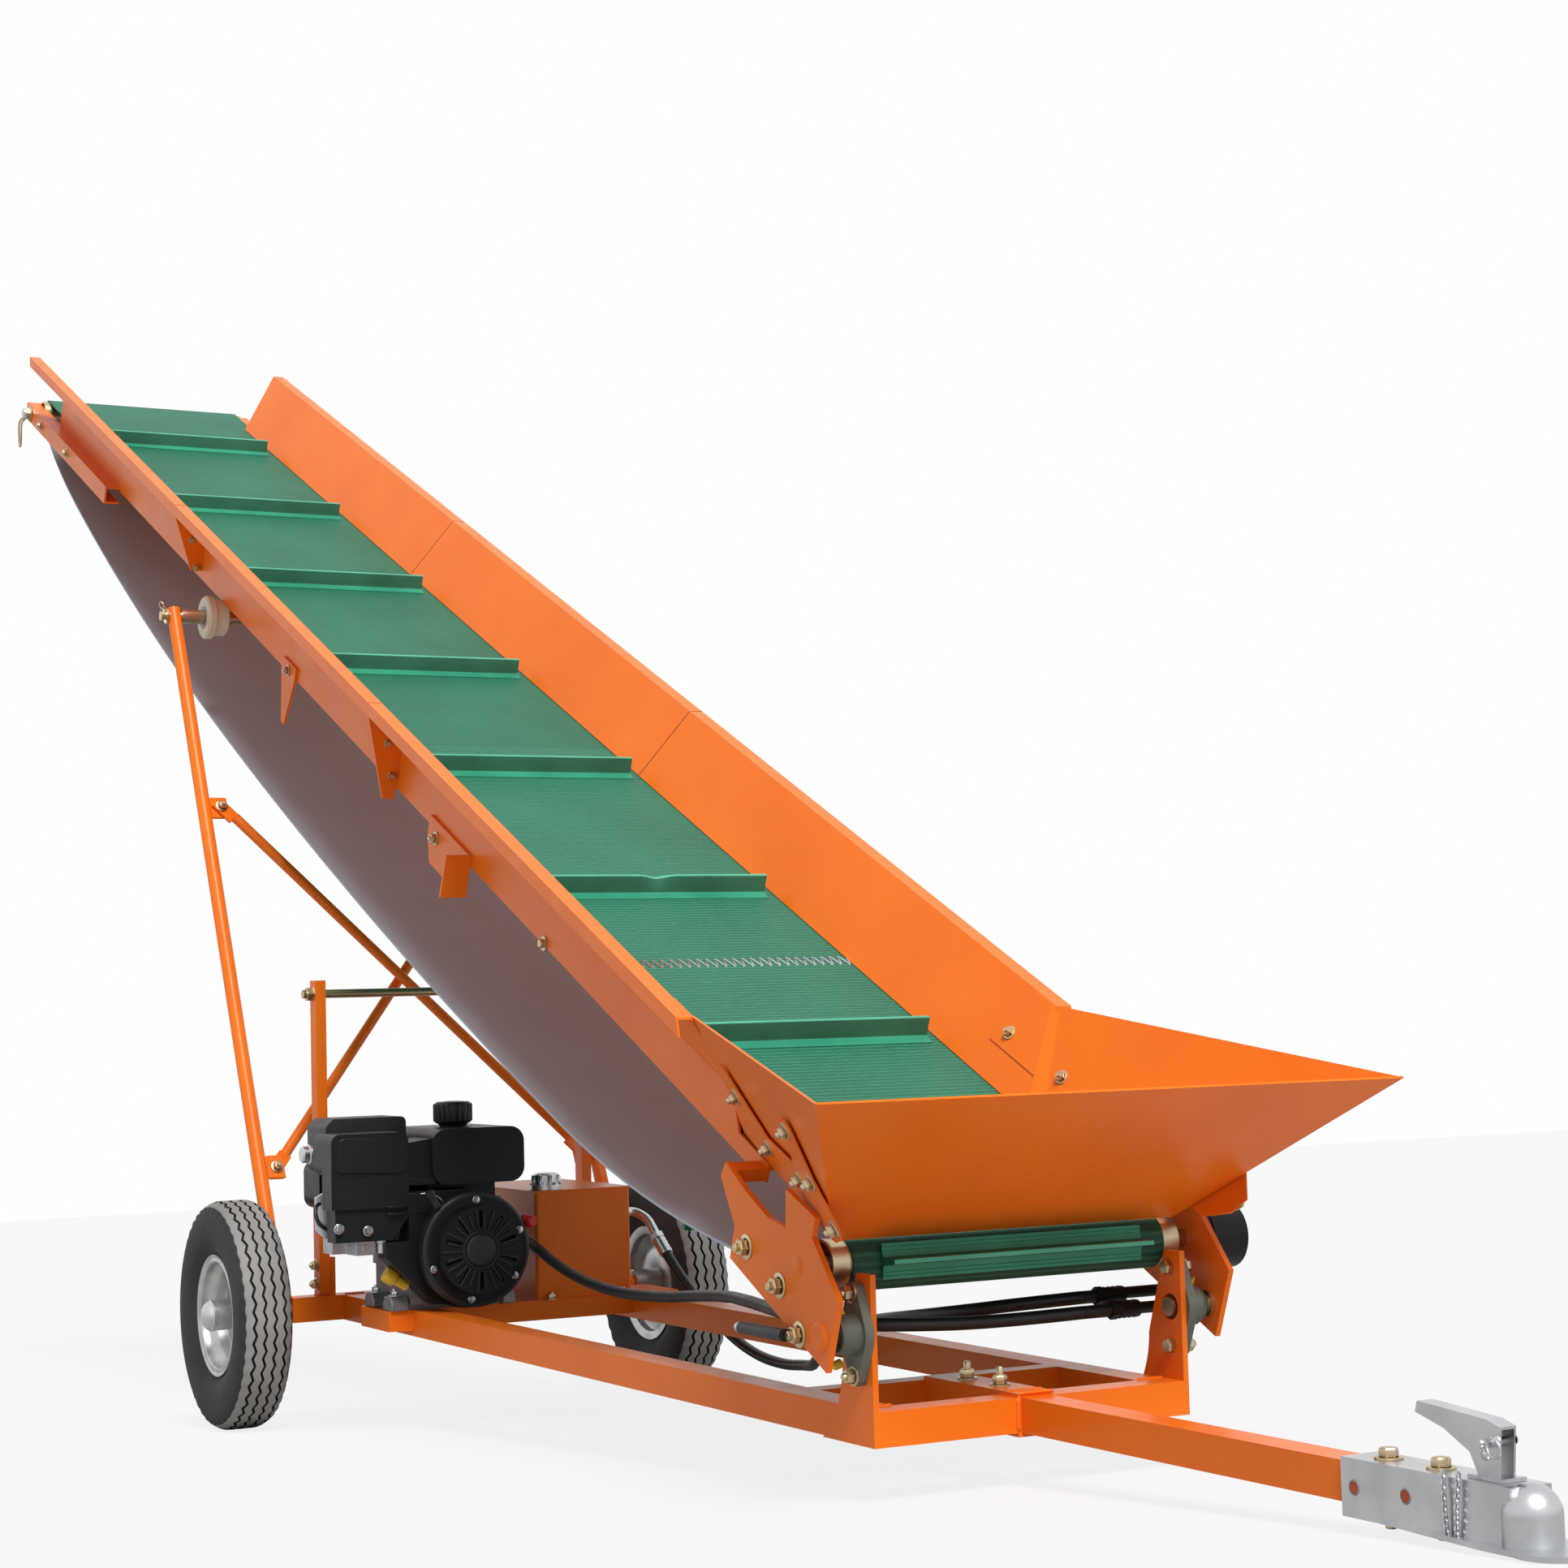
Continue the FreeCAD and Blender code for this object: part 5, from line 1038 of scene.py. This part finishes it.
def addHopperPlates():
    form = hopperForm
    plates, bolts = Shape("boom"), Shape("boom")
    for sign in sides:
        normal = wingPlane(sign)[1]
        outline = [wingSpot(*spot, sign, form["sheet"]) for spot in form["outline"]]
        plates.plate(outline, normal, form["plate"])
        for spot in form["bolts"]:
            bolts.bolt(wingSpot(*spot, sign, form["sheet"] + form["plate"]), normal, (14, 9, 12.5, 6))
        # inside: the wing's end of the lap, and a strip over the seam below it
        for strip in form["strips"]:
            plates.plate([wingSpot(*spot, sign, form["inset"]) for spot in strip], -normal, form["strip"])
        # narrow strip across the bend, where the wing leaves the panel, and a bolt's inner end
        bridge = [panelSpot(308, 40, sign, 1.5), panelSpot(410, 164, sign, 1.5)]
        bridge += [wingSpot(388, 164, sign, -1.5), wingSpot(288, 40, sign, -1.5)]
        plates.plate(bridge, -normal, form["bridge"])
        bolts.bolt(wingSpot(306, 95, sign, form["inset"] - form["strip"]), -normal, (13, 7, 11, 5))
    plates.piece("hopperPlates", "paint", bevel=0.6)
    bolts.piece("hopperBolts", "zinc")


addHopperPlates()


def addTailTrim():
    bosses = Shape("boom")
    boss = [(0.3, 3), (10, 3.4), (16, 4.4), (19, 3), (21, 0.4), (21, -0.5)]
    bosses.turnedPair(toBoom @ Vector((-25, 303, 141)), wayY, boss, 48)
    bosses.turnedPair((0, 303.2, 0), wayY, [(0.3, 1.2), (13, 1.2), (15, 0), (15, -0.4)], 40)
    bosses.piece("pivotBosses", "paint")
    start = toBoom @ Vector((-84, -321, 140))
    way = (toBoom.to_3x3() @ Vector((-1, 0, 0))).normalized()
    addTurned("adjusterSleeve", "boom", start, way,
              [(0.3, 0), (8.2, 0), (8.2, 118), (6.4, 119), (6.4, 127), (4.6, 131), (0.3, 131)], 24,
              "black_plastic")
    addTurned("adjusterTip", "boom", start + way * 119, way,
              [(0.3, 0), (6.7, 0), (6.7, 8), (4.8, 12.4), (0.3, 12.4)], 24, "silver")
    motor = Shape("boom")
    motor.turned((0, 0, 0), wayY, [(44.4, 318), (46.2, 319), (46.2, 334), (44.4, 335)], 56)
    motor.turned((0, 0, 0), wayY, [(40, 375.2), (41, 377.5), (20, 377.5), (18, 375.2)], 56)
    for ahead, up in around(6):
        motor.bolt((32 * ahead, 375.3, 32 * up), wayY, (9, 4, 6, 0))
    motor.piece("motorTrim", "black_paint")
    seals = Shape("chassis")
    seals.turnedPair((-25, 280, 141), wayY, [(13, 0.2), (20, 0.2), (20, 2.2), (13, 2.2)], 40)
    seals.piece("bearingSeals", "hose")
    grease = Shape("chassis")
    grease.turnedPair((-25, 268, 166), (0, 0.5, 0.86),
                      [(0.3, 0), (3.4, 0), (3.4, 6), (2.2, 8), (2.8, 11), (1.2, 13), (0.3, 13)], 12)
    grease.turnedPair((-45, 262, 104), (0, 1, -0.3), [(0.3, 0), (6, 0), (6, 9), (4.5, 12), (0.3, 12)], 16)
    grease.piece("greaseCaps", "yellow")


addTailTrim()
print("scene: hopper and tail")


def addHeadTrim():
    zinc = Shape("boom")
    zinc.boltPairs([(-beltForm["head"], 285, 0)], wayY, (26, 12, 20, 0))
    # take-up screw along the channel, with its nuts
    zinc.turnedPair((-4322, 267, 0), wayX, [(0.3, 0), (6, 0), (6, 200), (5, 203), (0.3, 203)], 20)
    for reach in (4300, 4180):
        zinc.turnedPair((-reach, 267, 0), wayX, [(6, 0), (11, 0), (11, 10), (6, 10)], 6)
    zinc.boltPairs([(-4250, 284, 0), (-3990, 284, 0)], wayY, (15, 8, 12, 5))
    zinc.piece("headScrews", "zinc")
    pin = [(-4382, -290, -14), (-4390, -302, -18), (-4387, -306, -34), (-4374, -305, -66), (-4364, -304, -86),
           (-4357, -303, -80), (-4363, -303, -56), (-4374, -303, -34), (-4380, -300, -22)]
    addCurve("headPin", "boom", pin, 2.6, "zinc", closed=True)


def addBracketBolts():
    zinc = Shape("boom")
    zinc.boltPairs([(-1365, 255.8, 2), (-1475, 255.8, 2)], wayY, (15, 9, 12, 5))
    zinc.boltPairs([(-2316, 255.8, 18)], wayY, (14, 8, 11, 4))
    for reach in panelForm["seams"]:
        for across, high in ((261, 32), (276, 92), (306, 140)):
            zinc.boltPairs([(-reach, across, high)], wayX, (11, 6, 8, 4))
            zinc.boltPairs([(-reach - 5, across, high)], (-1, 0, 0), (11, 6, 8, 0))
    # bearing of the small roller below the boom
    zinc.turnedPair((-1000, 250.2, 14), wayY, [(0.3, 9), (6, 9), (7, 7), (7, 2), (12, 2), (12, 0)], 24)
    zinc.piece("boomBolts", "zinc")
    posts = Shape("chassis")
    posts.boltPairs([(-1995, 276.2, 66), (-1995, 276.2, 100)], wayY, (15, 9, 12, 5))
    posts.piece("postBolts", "zinc")


addHeadTrim()
addBracketBolts()
print("scene: head and brackets")


chainForm = {"long": 4.2, "wide": 2.5, "wire": 1.2, "steps": 14, "sides": 6, "links": 12, "top": 54,
             "drop": 62, "strands": ((826, -2), (841, 6)), "lowLinks": 4}


def addLink(shape, spot, way, flat):
    # one stretched ring of chain
    form = chainForm
    way, flat = Vector(way).normalized(), Vector(flat).normalized()
    up = way.cross(flat)
    steps, turns = form["steps"], form["sides"]
    points, faces = [], []
    for ahead, aside in around(steps):
        centre = Vector(spot) + way * (form["long"] * ahead) + flat * (form["wide"] * aside)
        out = (way * ahead + flat * aside).normalized()
        points += [centre + (out * level + up * lift) * form["wire"] for level, lift in around(turns)]
    for step in range(steps):
        here, there = step * turns, (step + 1) % steps * turns
        for turn in range(turns):
            after = (turn + 1) % turns
            faces.append((here + turn, here + after, there + after, there + turn))
    shape.add(points, faces)


def addChain():
    form = chainForm
    chain = Shape("chassis")
    for x, lean in form["strands"]:
        for index in range(form["links"]):
            share = index / (form["links"] - 1)
            spot = (x + (1 - share) * lean, -32.5 - 1.5 * math.sin(share * math.pi),
                    form["top"] - form["drop"] * share)
            addLink(chain, spot, (0.04, 0, -1), wayX if index % 2 else wayY)
    for index in range(form["lowLinks"]):
        addLink(chain, (828 + 4.4 * index, -33, -10 - 2.5 * math.sin((index + 0.5) * 0.8)), wayX,
                wayY if index % 2 else wayZ)
    chain.piece("safetyChain", "silver", angle=60)


def addCouplerTrim():
    trim = Shape("chassis")
    for x, z in ((672, 19), (757, 21)):
        trim.turnedPair((x, 28, z), wayY, [(0.3, 0.3), (7, 0.3), (7, 0.9), (8.6, 0.5), (9.2, -0.2)], 28, 1)
        # dark orange disc over the recessed middle: painted shade
        trim.turnedPair((x, 28, z), wayY, [(0.3, 0.45), (6.8, 0.45)], 28, 2)
    for x, z in ((866, 76), (884, 92)):
        trim.turnedPair((x, 11, z), wayY, [(0.3, 3.4), (3.6, 3.2), (5.4, 1.8), (6, 0)], 20)
    trim.turnedPair((869, 20, 88.3), wayY, [(0.3, 2.4), (4, 2.4), (5, 0.8), (5, -4)], 20)
    trim.piece("couplerTrim", "silver", "engine", "holeShade")
    ring = [(880, -22, 92), (890, -25, 98), (902, -25, 94), (904, -24, 82), (894, -24, 76), (884, -24, 80)]
    addCurve("latchRing", "chassis", ring, 1.5, "silver", closed=True)
    ends = Shape("chassis")
    profile = [(10, -1), (10, 4.5), (6.4, 5.2), (6.4, 9.4), (5, 10), (0.3, 10)]
    for x in (698, 783):
        ends.turned((x, 0, -14.2), (0, 0, -1), profile, 12)
    ends.piece("couplerBoltEnds", "zinc")


addChain()
addCouplerTrim()
print("scene: coupler")
